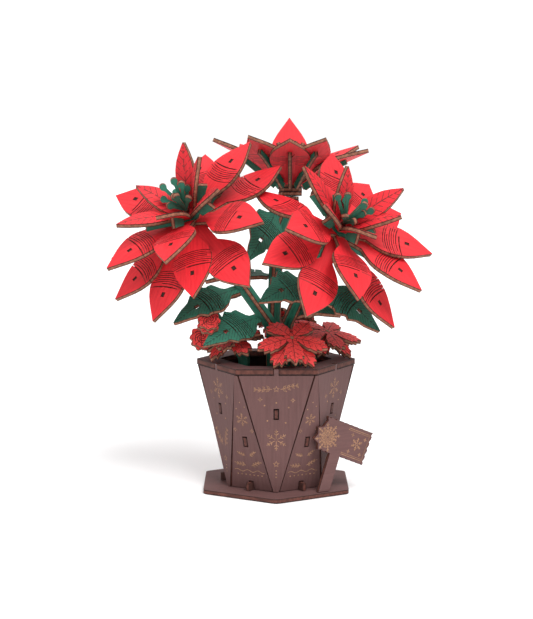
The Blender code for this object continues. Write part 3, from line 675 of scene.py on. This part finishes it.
def slab(bunch, top, low, flat, gone, middle=None, grooves=(), around=False):
    """A plate's face and back, and walls at its outline, openings and grooves."""
    rows = len(top) if around else len(top) - 1
    columns = len(top[0]) - 1
    for i in range(rows):
        after = (i + 1) % len(top)
        for j in range(columns):
            if (i, j) in gone:
                continue
            ring = ((i, j), (i, j + 1), (after, j + 1), (after, j))
            shapes = [flat[i if around else a][b] for a, b in ring]
            sunk = (i, j) in grooves
            cover = middle if sunk else top
            bunch.face([cover[a][b] for a, b in ring], shapes, 1 if sunk else 0)
            bunch.face([low[a][b] for a, b in ring[::-1]], shapes[::-1], 0)
            before = (i - 1) % rows if around else i - 1
            beside = ((before, j), (i, j + 1), (after, j), (i, j - 1))
            for k, (a, b) in enumerate(beside):
                levels = []
                if 0 <= a < rows and 0 <= b < columns and (a, b) not in gone:
                    if (a, b) in grooves and not sunk:
                        levels = [(top, middle, 0, SCORE_LEVEL)]
                elif middle is None:
                    levels = [(top, low, 0, FULL_DEPTH)]
                else:
                    levels = [(middle, low, SCORE_LEVEL, FULL_DEPTH)]
                    if not sunk:
                        levels.append((top, middle, 0, SCORE_LEVEL))
                ends = (ring[k], ring[(k + 1) % 4])
                run = (i * AROUND_STEP, (i + 1) * AROUND_STEP)
                if not around:
                    run = [flat[p][q][0 if k % 2 else 1] for p, q in ends]
                for over, under, *depths in levels:
                    bunch.wall([over[p][q] for p, q in ends], [under[p][q] for p, q in ends], run, 1, depths)


def sheet(bunch, path, outline, across, matrix, scored=True, pattern=0, cells=SIDE_CELLS):
    """A sheet bent along a path, with a slot and grooves at its scored bend."""
    bunch.number += 1
    total = path_length(path)
    scored = scored and total > LAST_SCORE + 2
    places, marks = sheet_rows(outline, total, scored)
    top, middle, low, flat = [], [], [], []
    for distance in places:
        widths = between(outline, distance)
        left, right = widths[0], widths[-1]
        inner_left = min(HALF_SLOT, left * 0.35)
        inner_right = min(HALF_SLOT, right * 0.35)
        offsets = [-left + (left - inner_left) * k / cells for k in range(cells + 1)]
        offsets.append(0.0)
        offsets += [inner_right + (right - inner_right) * k / cells for k in range(cells + 1)]
        bow = bulge(distance) if scored else 0.0
        for rows in (top, middle, low, flat):
            rows.append([])
        for side in offsets:
            wide = left if side < 0 else right
            there = distance + bow * (1 - (side / wide) ** 2)
            point, run = from_tip(path, min(there, total) * MM)
            normal = run.cross(across).normalized()
            point = point + across * side * MM
            top[-1].append(matrix @ (point + normal * PLY / 2))
            middle[-1].append(matrix @ (point + normal * (PLY / 2 - SCORE_DEPTH)))
            low[-1].append(matrix @ (point - normal * PLY / 2))
            flat[-1].append((there, side, distance))
    gone = set()
    grooves = set()
    for i, distance in enumerate(places[:-1]):
        mark = marks.get(distance)
        if mark == "slot":
            gone |= {(i, cells), (i, cells + 1)}
        elif isinstance(mark, int):
            grooves |= {(i, j) for j in SCORE_CELLS[(mark + pattern) % len(SCORE_CELLS)]}
    slab(bunch, top, low, flat, gone, middle, grooves)


def slanted(rise):
    return polar(1, rise).to_3d().xzy


def rising_path(legs):
    path = [Vector((0, 0, 0))]
    for length, rise in legs:
        path.append(path[-1] + length * slanted(rise))
    return path


def tab(bunch, path, matrix):
    """The end of a strut in a sheet's slot, a little below the sheet's face."""
    point, run = from_tip(path, (SLOT_NEAR + SLOT_FAR) / 2 * MM)
    place = matrix @ Matrix.Translation(point) @ along_axes(run, ACROSS, run.cross(ACROSS).normalized())
    prism(bunch, oblong(TAB_HALF[0], -TAB_HALF[1], TAB_HALF[1]), -PLY, TAB_TOP, place, 1, 1)


def strut(bunch, path, matrix, near, far, depths):
    """A plate under a path that tapers from its root to its end."""
    total = path_length(path)
    close, away = [], []
    for k in range(STRUT_STEPS + 1):
        place = near + (far - near) * k / STRUT_STEPS
        point, run = from_tip(path, (total - place) * MM)
        normal = run.cross(ACROSS).normalized()
        depth = depths[0] + (depths[1] - depths[0]) * k / STRUT_STEPS
        close.append(point - normal * (PLY / 2 + STRUT_GAP))
        away.append(point - normal * (PLY / 2 + depth * MM))
    outline = [(p.x / MM, p.z / MM) for p in (*close, *away[::-1])]
    prism(bunch, outline, -PLY / 2, PLY / 2, matrix @ rotation("X", 90))


def build_petals(side, base, struts):
    """Bent petals in two layers, with a strut under each."""
    outer = Bunch(red, edge)
    lower = Bunch(red, edge)
    pattern = 0
    for petals, layer, bunch in ((UPPER_PETALS, UPPER_LAYER, outer), (LOWER_PETALS, LOWER_LAYER, lower),
                                 (RAISED_PETALS, RAISED_LAYER, outer)):
        for angle, lift, extra in petals[side]:
            place = base @ rotation("Z", angle) @ rotation("Y", -lift)
            legs = [(length * MM, rise) for length, rise in layer]
            legs[0] = (legs[0][0] + extra * MM, legs[0][1])
            path = rising_path(legs)
            path[0] = path[0].lerp(path[1], PETAL_ROOT / legs[0][0])
            path = softened(path)
            pattern += 1
            sheet(bunch, path, PETAL_OUTLINE, ACROSS, place, True, pattern)
            tab(struts, path, place)
            strut(struts, path, place, PETAL_STRUT_ROOT, path_length(path) - SLOT_NEAR, PETAL_STRUT)
    outer.make(side + "_upper_petals", "petals_" + side)
    if LOWER_PETALS[side]:
        lower.make(side + "_lower_petals", "petals_" + side)


def build_inner(side, base, hub_top, struts):
    """The inner whorl on its disc, with a strut outside each long petal."""
    inner = Bunch(red_veined, edge)
    disc = [polar(INNER_DISC, 36 * k) for k in range(10)]
    prism(inner, disc, hub_top + FIT, hub_top + FIT + PLY, base)
    for angle, rise, length in INNER_PETALS[side]:
        lifted = base @ raised(hub_top + FIT + PLY / 2) @ rotation("Z", angle)
        run = slanted(rise)
        tip = run * length * MM
        start = Vector((INNER_ROOT, 0, 0))
        outside = Vector((run.z, 0, -run.x))
        bend = start.lerp(tip, INNER_BEND[0]) - outside * INNER_BEND[1] * length * MM
        path = softened([start, bend, tip])
        sheet(inner, path, INNER_OUTLINE, ACROSS, lifted, False)
        if length > LONG_INNER:
            strut(struts, path, lifted, INNER_STRUT_ROOT, length - INNER_STRUT_END, INNER_STRUT)
    inner.make(side + "_inner_petals", "inner_petals_" + side)


def build_stamens(side, base, hub_top):
    """Flat stamens with round heads, from one short column."""
    bunch = Bunch(green, edge)
    root_height = hub_top + STAMEN_ROOT
    column = [polar(STAMEN_COLUMN, 36 * k) for k in range(10)]
    prism(bunch, column, hub_top + PLY + 2 * FIT, root_height + STAMEN_COLUMN_TOP, base)
    root = base @ Vector((0, 0, root_height))
    for angle, rise, length in (*STAMENS[side], *SHORT_STAMENS[side]):
        end = base @ rotation("Z", angle) @ rotation("Y", -rise) @ Vector((length * MM, 0, 0))
        run = end - root
        axis = run.normalized()
        wide = axis.cross(Vector((0, -1, 0))).normalized()
        reach = run.length / MM
        disc = [Vector((reach, 0)) + polar(STAMEN_HEAD, a) for a in range(-140, 141, 20)]
        neck = reach - STAMEN_HEAD - 0.3
        half = STAMEN_HALF_WIDTH
        outline = [(0, -half), (neck, -half), *disc, (neck, half), (0, half)]
        axes = along_axes(axis, wide, axis.cross(wide))
        prism(bunch, outline, -PLY / 2, PLY / 2, Matrix.Translation(root) @ axes)
    bunch.make(side + "_stamens", "stamens_" + side)


def build_head(side):
    """A large head: petals with struts, a hub of stacked discs, inner petals and stamens."""
    base = head_matrix(*HEADS[side])
    hub_top = HUB_TOP[side]
    struts = Bunch(green, edge)
    build_petals(side, base, struts)
    build_inner(side, base, hub_top, struts)
    struts.make(side + "_struts", "petals_" + side)
    hub = Bunch(green, edge)
    low = -HUB_HALF
    turn = 0
    while low < hub_top - 0.1 * MM:
        ring = [polar(HUB_RADIUS - (0.0 if k % 2 else HUB_NOTCH), 20 * k + turn) for k in range(18)]
        prism(hub, ring, low + DISC_GAP, low + PLY - DISC_GAP, base)
        low += PLY
        turn += 10
    hub.make(side + "_hub", "petals_" + side)
    build_stamens(side, base, hub_top)


def strip(bunch, path, width, across):
    half = width / 2
    sheet(bunch, path, ((0, half), (400, half)), across, Matrix(), False, 0, 1)


def build_stem(side):
    """Two strips crossed along their length, and a collar of two discs."""
    base = head_matrix(*HEADS[side])
    top = base @ Vector((0, 0, -HUB_HALF - FIT - STEM_TOP))
    path = [*(Vector(p) * MM for p in STEMS[side]), top]
    lean = path[-1] - path[1]
    flat = Vector((lean.x, lean.y, 0)).normalized()
    cross = Vector((-flat.y, flat.x, 0))
    bunch = Bunch(green, edge)
    strip(bunch, path, STEM_WIDTH, cross)
    for start, end in zip(path, path[1:]):
        strip(bunch, [start, end], STEM_WIDTH, (end - start).cross(cross).normalized())
    ring = [polar(COLLAR_RADIUS - (COLLAR_NOTCH if k % 2 else 0.0), 15 * k) for k in range(24)]
    for turn, (low, high) in zip((0, 15), COLLAR_DISCS):
        prism(bunch, ring, -HUB_HALF - FIT - low, -HUB_HALF - FIT - high, base @ rotation("Z", turn))
    bunch.make(side + "_stem", "stem_" + side)


def stem_point(side, height):
    points = [*(Vector(p) for p in STEMS[side]), Vector(HEADS[side][0])]
    for low, high in zip(points, points[1:]):
        if height <= high.z:
            part = (height - low.z) / (high.z - low.z)
            return low.lerp(high, part) * MM, (high - low).normalized()
    raise ValueError("above the stem")


def leaf_frame(name):
    side, height, tip, face = LEAVES[name]
    axis, stem = stem_point(side, height)
    end = Vector(tip) * MM
    away = end - axis
    away = (away - stem * away.dot(stem)).normalized()
    across = Vector(face).cross(end - axis).normalized()
    above = (end - axis).cross(across).normalized()
    reach = abs(across.dot(away)) * LEAF_OUTLINE[-1][1] * MM + abs(above.dot(away)) * PLY / 2
    start = axis + away * (STEM_WIDTH / 2 * MM + FIT + reach)
    middle = start.lerp(end, LEAF_BEND[0]) + above * (end - start).length * LEAF_BEND[1]
    return [start, middle, end], across


def build_leaf(name, pattern):
    path, across = leaf_frame(name)
    bunch = Bunch(green_veined, edge)
    sheet(bunch, softened(path), LEAF_OUTLINE, across, Matrix(), True, pattern)
    bunch.make(name + "_leaf", "leaf_" + name)


def lobe_radius(lobe, off, angle, length, seed):
    """The reach of a lobed plate in mm at an angle in degrees."""
    if (lobe + seed) % 2 < 1:
        off = -off
    reach = length * (1 + 0.04 * math.sin(lobe * 2.1 + seed))
    ragged = between(LOBE_EDGE, off)[0] * reach
    return max(LOBE_NOTCH, ragged + LOBE_RIPPLE * math.sin(math.radians(angle * 29)))


def lobed_plate(bunch, length, drop, curl, matrix, seed):
    """A plate of five drooping lobes, with slits that end in keyholes."""
    bunch.number += 1
    top, low, flat = [], [], []
    gone = set()
    for k in range(LOBE_STEPS):
        angle = 360 * k / LOBE_STEPS
        lobe = round(angle / 72)
        off = (angle - 72 * lobe) / 36
        reach = lobe_radius(lobe, off, angle, length, seed)
        spans = [*LOBE_RINGS, *(5.1 + (reach - 5.1) * part / 4 for part in range(5))]
        for rows in (top, low, flat):
            rows.append([])
        for radius in spans:
            out = max(0.0, radius - 5.0)
            sag = math.tan(math.radians(drop + 2 * math.sin(2.3 * lobe + seed))) * out
            height = -sag * curl[0] - curl[1] * out * out - 0.05 * out * off * off
            spot = polar(radius, angle)
            for rows, half in ((top, PLY / 2), (low, -PLY / 2)):
                rows[-1].append(matrix @ Vector((spot.x * MM, spot.y * MM, height * MM + half)))
            flat[-1].append((radius + lobe * 20, off * radius * 0.6))
        from_slit = abs(((360 * (k + 0.5) / LOBE_STEPS) % 72) - 36)
        if from_slit < SLIT_HALF_ANGLE:
            gone |= {(k, j) for j in range(3, len(spans) - 1)}
        if from_slit < KEYHOLE_HALF_ANGLE:
            gone.add((k, 2))
    slab(bunch, top, low, flat, gone, around=True)


def bud(bunch, base, lines):
    """Two scalloped discs, the front one with an engraved whorl."""
    turns = [360 * k / 64 for k in range(64)]
    edge_line = [polar(BUD_RADIUS + BUD_SCALLOP * math.cos(math.radians(8 * a)), a) for a in turns]
    prism(bunch, edge_line, 0.0, PLY - 0.03 * MM, base)
    behind = base @ Matrix.Translation(BUD_BEHIND) @ rotation("Z", 22)
    prism(bunch, edge_line, 0.0, PLY - 0.1 * MM, behind)
    for arm in range(5):
        whorl = [polar(0.6 + 0.42 * k, 72 * arm + 24 * k) for k in range(8)]
        ribbon(lines, whorl, 0.28, PLY + BUD_LINE, base)
    for arm in range(9):
        dash = [polar(4.0, 40 * arm), polar(4.6, 40 * arm + 9)]
        ribbon(lines, dash, 0.26, PLY + BUD_LINE, base)


def build_small_flower(place, seed):
    node = "small_flower_" + place
    name = place + "_flower"
    centre, azimuth, lean, spin, foot = SMALL_FLOWERS[place]
    base = head_matrix(centre, azimuth, lean)
    bunch = Bunch(coral_with_painted_light, edge)
    for (length, drop), curl, sunk, turn, other in ((UPPER_LOBE, UPPER_CURL, 0.0, 0, 0),
                                                    (LOWER_LOBE, LOWER_CURL, LAYER_DROP, 36, 1.3)):
        layer = base @ raised(-sunk) @ rotation("Z", spin + turn)
        lobed_plate(bunch, length - LOBE_SHORTER, drop, curl, layer, seed + other)
    if place == "left":
        lines = Bunch(burnt_line)
        bud(bunch, head_matrix(*BUD_LEFT), lines)
        lines.make("left_bud_lines", node)
    bunch.make(name, node)
    middle = Bunch(engraved, edge)
    prism(middle, oblong(*PEG), -3.9 * MM, 1.15 * MM, base)
    prism(middle, [polar(4.0, 30 * k) for k in range(12)], -3.4 * MM, -1.9 * MM, base, 1, 1)
    middle.make(name + "_middle", node)
    build_post(name + "_post", node + "_post", foot, base @ Vector((0, 0, -FLOWER_POST_TOP)))


def build_post(name, node, foot, top):
    start = Vector((foot[0] * MM, foot[1] * MM, SOIL_HEIGHT + FIT))
    knee = Vector((start.x, start.y, RIM_TOP + POST_KNEE))
    bunch = Bunch(green, edge)
    strip(bunch, [start, knee, top], POST_WIDTH, Vector((1, 0, 0)))
    bunch.make(name, node)


def build_bud(place, matrix):
    bunch = Bunch(coral_with_painted_light, edge)
    lines = Bunch(burnt_line)
    bud(bunch, matrix, lines)
    bunch.make(place + "_bud", "bud_" + place)
    lines.make(place + "_bud_lines", "bud_" + place)


def build_buds():
    """The bud at the back on its post, and the one that rests on a leaf."""
    base = head_matrix(*BUD_LEFT_BACK)
    build_bud("back", base)
    build_post("back_bud_post", "bud_back_post", BUD_FOOT, base @ Vector((0, 0, -PLY - BUD_POST_TOP)))
    path, across = leaf_frame("left_low")
    run = (path[2] - path[1]).normalized()
    normal = run.cross(across).normalized()
    spot = path[2] - run * BUD_ON_LEAF[0] - across * BUD_ON_LEAF[1] + normal * (1.5 * PLY + FIT)
    build_bud("front", Matrix.Translation(spot) @ along_axes(run, normal.cross(run), normal))


def panel_plane(number, hanging):
    """A panel's plane, with its wide edge's middle at 0, and the way that it faces."""
    middle = -90 + 60 * number + (0 if hanging else 30)
    low = PLY + FIT
    high = RIM_TOP - RIM_THICKNESS - FIT
    radius, far, start, end = ((PANEL_TOP_RADIUS, PANEL_FOOT_RADIUS, high, low) if hanging
                               else (PANEL_FOOT_RADIUS, PANEL_TOP_RADIUS, low, high))
    turns = (30, -30) if hanging else (-30, 30)
    wide = [polar(radius, middle + turn).to_3d() + Vector((0, 0, start)) for turn in turns]
    point = polar(far, middle).to_3d() + Vector((0, 0, end))
    centre = (wide[0] + wide[1]) / 2
    across = (wide[1] - wide[0]).normalized()
    upwards = (point - centre).normalized()
    outward = across.cross(upwards).normalized()
    if hanging:
        across, upwards = -across, -upwards
    return Matrix.Translation(centre) @ along_axes(across, upwards, outward), outward


class Engraving:
    """Fine lines on a plane, in mm, just above the surface."""

    def __init__(self, lines, plane, width):
        self.lines = lines
        self.plane = plane
        self.width = width

    def line(self, points, width=None, closed=False):
        ribbon(self.lines, points, width or self.width, LINE_HEIGHT, self.plane, closed)

    def star(self, x, y, radius, points=5, inner=0.42, width=None):
        corners = [Vector((x, y)) + polar(radius * (inner if k % 2 else 1.0), 90 + 180 * k / points)
                   for k in range(2 * points)]
        self.line(corners, width, True)

    def arm(self, centre, turn, ends, barbs, lean, width=None, fine=None):
        """A line outwards from a centre, with pairs of barbs on it."""
        self.line([centre + polar(end, turn) for end in ends], width)
        for distance, length in barbs:
            root = centre + polar(distance, turn)
            for side in (-lean, lean):
                self.line([root, root + polar(length, turn + side)], fine or width)

    def snowflake(self, x, y, radius, width=None):
        barbs = [(radius * part, radius * reach) for part, reach in ((0.45, 0.26), (0.72, 0.2))]
        for k in range(6):
            self.arm(Vector((x, y)), 90 + 60 * k, (radius * 0.12, radius), barbs, 50, width)

    def sprig(self, x, y, length, turn, pairs=4):
        """A curved twig with pairs of narrow leaves."""
        root = Vector((x, y))
        twig = [root + polar(length * k / 8, turn + 10 * math.sin(k / 3)) for k in range(9)]
        self.line(twig)
        for k in range(pairs):
            spot = twig[2 * k + 1]
            for lean in (-42, 42):
                run = polar(1.0, turn + lean)
                side = Vector((-run.y, run.x))
                size = length * (0.27 - 0.03 * k)
                leaf = [spot, spot + run * size * 0.45 + side * size * 0.18, spot + run * size,
                        spot + run * size * 0.45 - side * size * 0.18]
                self.line(leaf, closed=True)

    def dot(self, x, y, radius):
        corners = [Vector((x, y)) + polar(radius, 45 * k) for k in range(8)]
        prism(self.lines, corners, LINE_HEIGHT - LINE_DEPTH, LINE_HEIGHT, self.plane, 0, 0)


def hanging_art(art, number):
    """Motifs on a hanging panel, whose top edge is at 0 and whose foot is below."""
    if number % 2 == 0:
        for side in (-1, 1):
            art.sprig(side * 2.0, -6.6, 8.5, 90 - side * 84)
        art.star(0, -6.6, 1.5)
        art.snowflake(0, -31.5, 5.2)
    else:
        art.snowflake(0, -8.5, 5.0)
        for side in (-1, 1):
            art.sprig(side * 1.2, -37.0, 9.5, 90 - side * 28)
    for x, y in ((-5.5, -14.5), (5.8, -15.5), (-4.2, -22.0), (4.4, -23.0), (0, -13.2)):
        art.dot(x, y, 0.4)
    for x, y in ((-7.6, -11.6), (7.8, -12.0)):
        art.star(x, y, 1.1, 4, 0.35, art.width * 0.8)
    art.star(0, -43.5, 1.5)
    for k in range(3):
        art.dot(0, -46.8 - 1.6 * k, 0.34)


def standing_art(art, number):
    """Motifs on a standing panel, whose foot is at 0."""
    for side in (-1, 1):
        art.sprig(side * 1.6, 12.5, 6.2, 90 - side * 74, 3)
        art.sprig(side * 1.2, 17.6, 4.6, 90 - side * 62, 3)
        art.star(side * 4.6, 31.0, 1.1, 4, 0.35, art.width * 0.8)
    art.line([Vector((-8.2 + 0.82 * k, 9.6 + 0.55 * math.sin(k * 0.9))) for k in range(21)])
    for k in range(7):
        art.dot(-6.6 + 2.2 * k, 7.6, 0.36)
    art.snowflake(0, 36.5, 3.4 if number % 2 else 3.0, art.width * 0.9)
    for x, y in ((-2.4, 42.0), (2.2, 43.2), (0, 45.4)):
        art.dot(x, y, 0.32)


def dress(name, *plate, stain=POT):
    """Stained wood on a plate of the frame."""
    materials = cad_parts[name].data.materials
    materials.clear()
    materials.append(stained_plate(name, *plate, *stain))


def build_pot():
    """The pot's materials, tabs in the rim's notches, and engraved lines."""
    up = Vector((0, 0, 1))
    level = Vector((1, 0, 0))
    dress("base_plate", up, 0.0, PLY, level)
    dress("rim", up, RIM_TOP - RIM_THICKNESS, RIM_THICKNESS, level)
    dress("soil_plate", up, SOIL_HEIGHT, PLY, level, stain=SOIL)
    lines = Bunch(engraved)
    tabs = Bunch(stained, pot_edge)
    for number in range(6):
        for hanging in (True, False):
            kind = "hanging" if hanging else "standing"
            plane, outward = panel_plane(number, hanging)
            up_face = plane.to_3x3() @ Vector((0, 1, 0))
            offset = plane.translation.dot(outward) - PLY
            dress("panel_%s_%d" % (kind, number + 1), outward, offset, PLY, up_face)
            sideways = polar(1.0, 60 * number + (0 if hanging else 30)).to_3d()
            dress("rib_%s_%d" % (kind, number + 1), sideways, -PLY / 2, PLY, up, stain=RIB)
            art = Engraving(lines, plane, PANEL_LINE)
            if hanging:
                prism(tabs, oblong(*RIM_TAB), -PLY, -0.01 * MM, plane)
                hanging_art(art, number)
            else:
                standing_art(art, number)
    lines.make("pot_lines")
    tabs.make("rim_tabs")


def build_tag():
    """The card's material, a fine frame line and a burst of strokes."""
    outward = polar(1.0, TAG_AZIMUTH).to_3d()
    level = polar(1.0, TAG_AZIMUTH + 90).to_3d()
    dress("tag", outward, TAG_DISTANCE - PLY, PLY, level)
    face = rotation("Z", TAG_AZIMUTH + 90) @ rotation("X", 90)
    base = Matrix.Translation(outward * TAG_DISTANCE) @ face
    centre = Matrix.Translation((TAG_CENTRE[0] * MM, TAG_CENTRE[1] * MM, 0)) @ rotation("Z", TAG_TURN)
    lines = Bunch(engraved)
    art = Engraving(lines, base @ centre, TAG_LINE)
    wide, high = TAG_SIZE
    for share, width in ((1.0, 0.3), (0.88, 0.2)):
        border = ((-0.02, 0.40), (0.45, 0.40), (0.45, -0.40), (-0.02, -0.40))
        art.line([Vector((x * wide, y * high * share)) for x, y in border], width)
    hub = Vector((-wide * 0.38, -high * 0.08))
    for k in range(16):
        turn = 22.5 * k
        reach = 6.9 if k % 2 else 5.3
        barbs = [(reach * part, 1.15) for part in (0.38, 0.58, 0.78)]
        art.arm(hub, turn, (1.2, reach), barbs, 38, 0.34, 0.26)
    art.star(hub.x, hub.y, 1.1, 6, 0.6)
    art.snowflake(wide * 0.24, high * 0.02, 3.2)
    for x, y in ((0.10, 0.24), (0.38, 0.22), (0.37, -0.24), (0.12, -0.26)):
        art.star(x * wide, y * high, 0.9, 4, 0.35, 0.25)
    lines.make("tag_lines")


def build_floor():
    mesh = bpy.data.meshes.new("floor")
    corners = [(x, y, FLOOR_HEIGHT) for x, y in oblong(FLOOR_REACH, -FLOOR_REACH, FLOOR_REACH)]
    mesh.from_pydata(corners, [], [(0, 1, 2, 3)])
    floor = bpy.data.objects.new("floor", mesh)
    bpy.context.scene.collection.objects.link(floor)
    shade = Shade("floor", FLOOR_ROUGHNESS)
    tone = shade.noise(shade.node("TexCoord", output="Object"), 2.0)
    tones = ((0.0, (0.93, 0.93, 0.93, 1)), (1.0, (0.95, 0.95, 0.95, 1)))
    mesh.materials.append(shade.paint(shade.ramp(tone, tones)))


def build_world():
    """Even light from all round, and a brighter white behind the floor."""
    world = bpy.data.worlds.new("studio")
    world.use_nodes = True
    nodes = world.node_tree.nodes
    links = world.node_tree.links
    even = nodes["Background"]
    seen = nodes.new("ShaderNodeBackground")
    for background, strength in ((even, WORLD_LIGHT), (seen, WORLD_SEEN)):
        background.inputs["Color"].default_value = (1, 1, 1, 1)
        background.inputs["Strength"].default_value = strength
    choice = nodes.new("ShaderNodeMixShader")
    links.new(nodes.new("ShaderNodeLightPath").outputs["Is Camera Ray"], choice.inputs[0])
    links.new(even.outputs[0], choice.inputs[1])
    links.new(seen.outputs[0], choice.inputs[2])
    links.new(choice.outputs[0], nodes["World Output"].inputs["Surface"])
    bpy.context.scene.world = world


def aim(name, data, location, toward):
    """An object with a lamp or lens that looks against the given direction."""
    obj = bpy.data.objects.new(name, data)
    obj.location = location
    obj.rotation_euler = (-toward).to_track_quat("-Z", "Y").to_euler()
    bpy.context.scene.collection.objects.link(obj)
    return obj


def build_studio():
    """A white floor, soft light from the upper front, and the camera."""
    build_floor()
    build_world()
    for number, (turn, height, power, spread) in enumerate(SUNS):
        light = bpy.data.lights.new("soft_%d" % number, "SUN")
        light.energy = power
        light.angle = math.radians(spread)
        tilt = math.radians(height)
        level = polar(math.cos(tilt), turn)
        toward = Vector((level.x, level.y, math.sin(tilt)))
        aim("soft_%d" % number, light, toward, toward)
    elevation = math.radians(CAMERA_ELEVATION)
    back = Vector((0.0, -math.cos(elevation), math.sin(elevation)))
    lens = bpy.data.cameras.new("camera")
    lens.sensor_width = CAMERA_SENSOR
    lens.lens = CAMERA_LENS
    camera = aim("camera", lens, Vector(CAMERA_TARGET) + back * CAMERA_DISTANCE, back)
    bpy.context.scene.camera = camera
    bpy.context.scene.view_settings.view_transform = "Standard"


build_pot()
build_tag()
for head in HEADS:
    build_head(head)
    build_stem(head)
for pattern, leaf in enumerate(LEAVES):
    build_leaf(leaf, pattern)
for seed, flower in enumerate(SMALL_FLOWERS):
    build_small_flower(flower, seed)
build_buds()
build_studio()
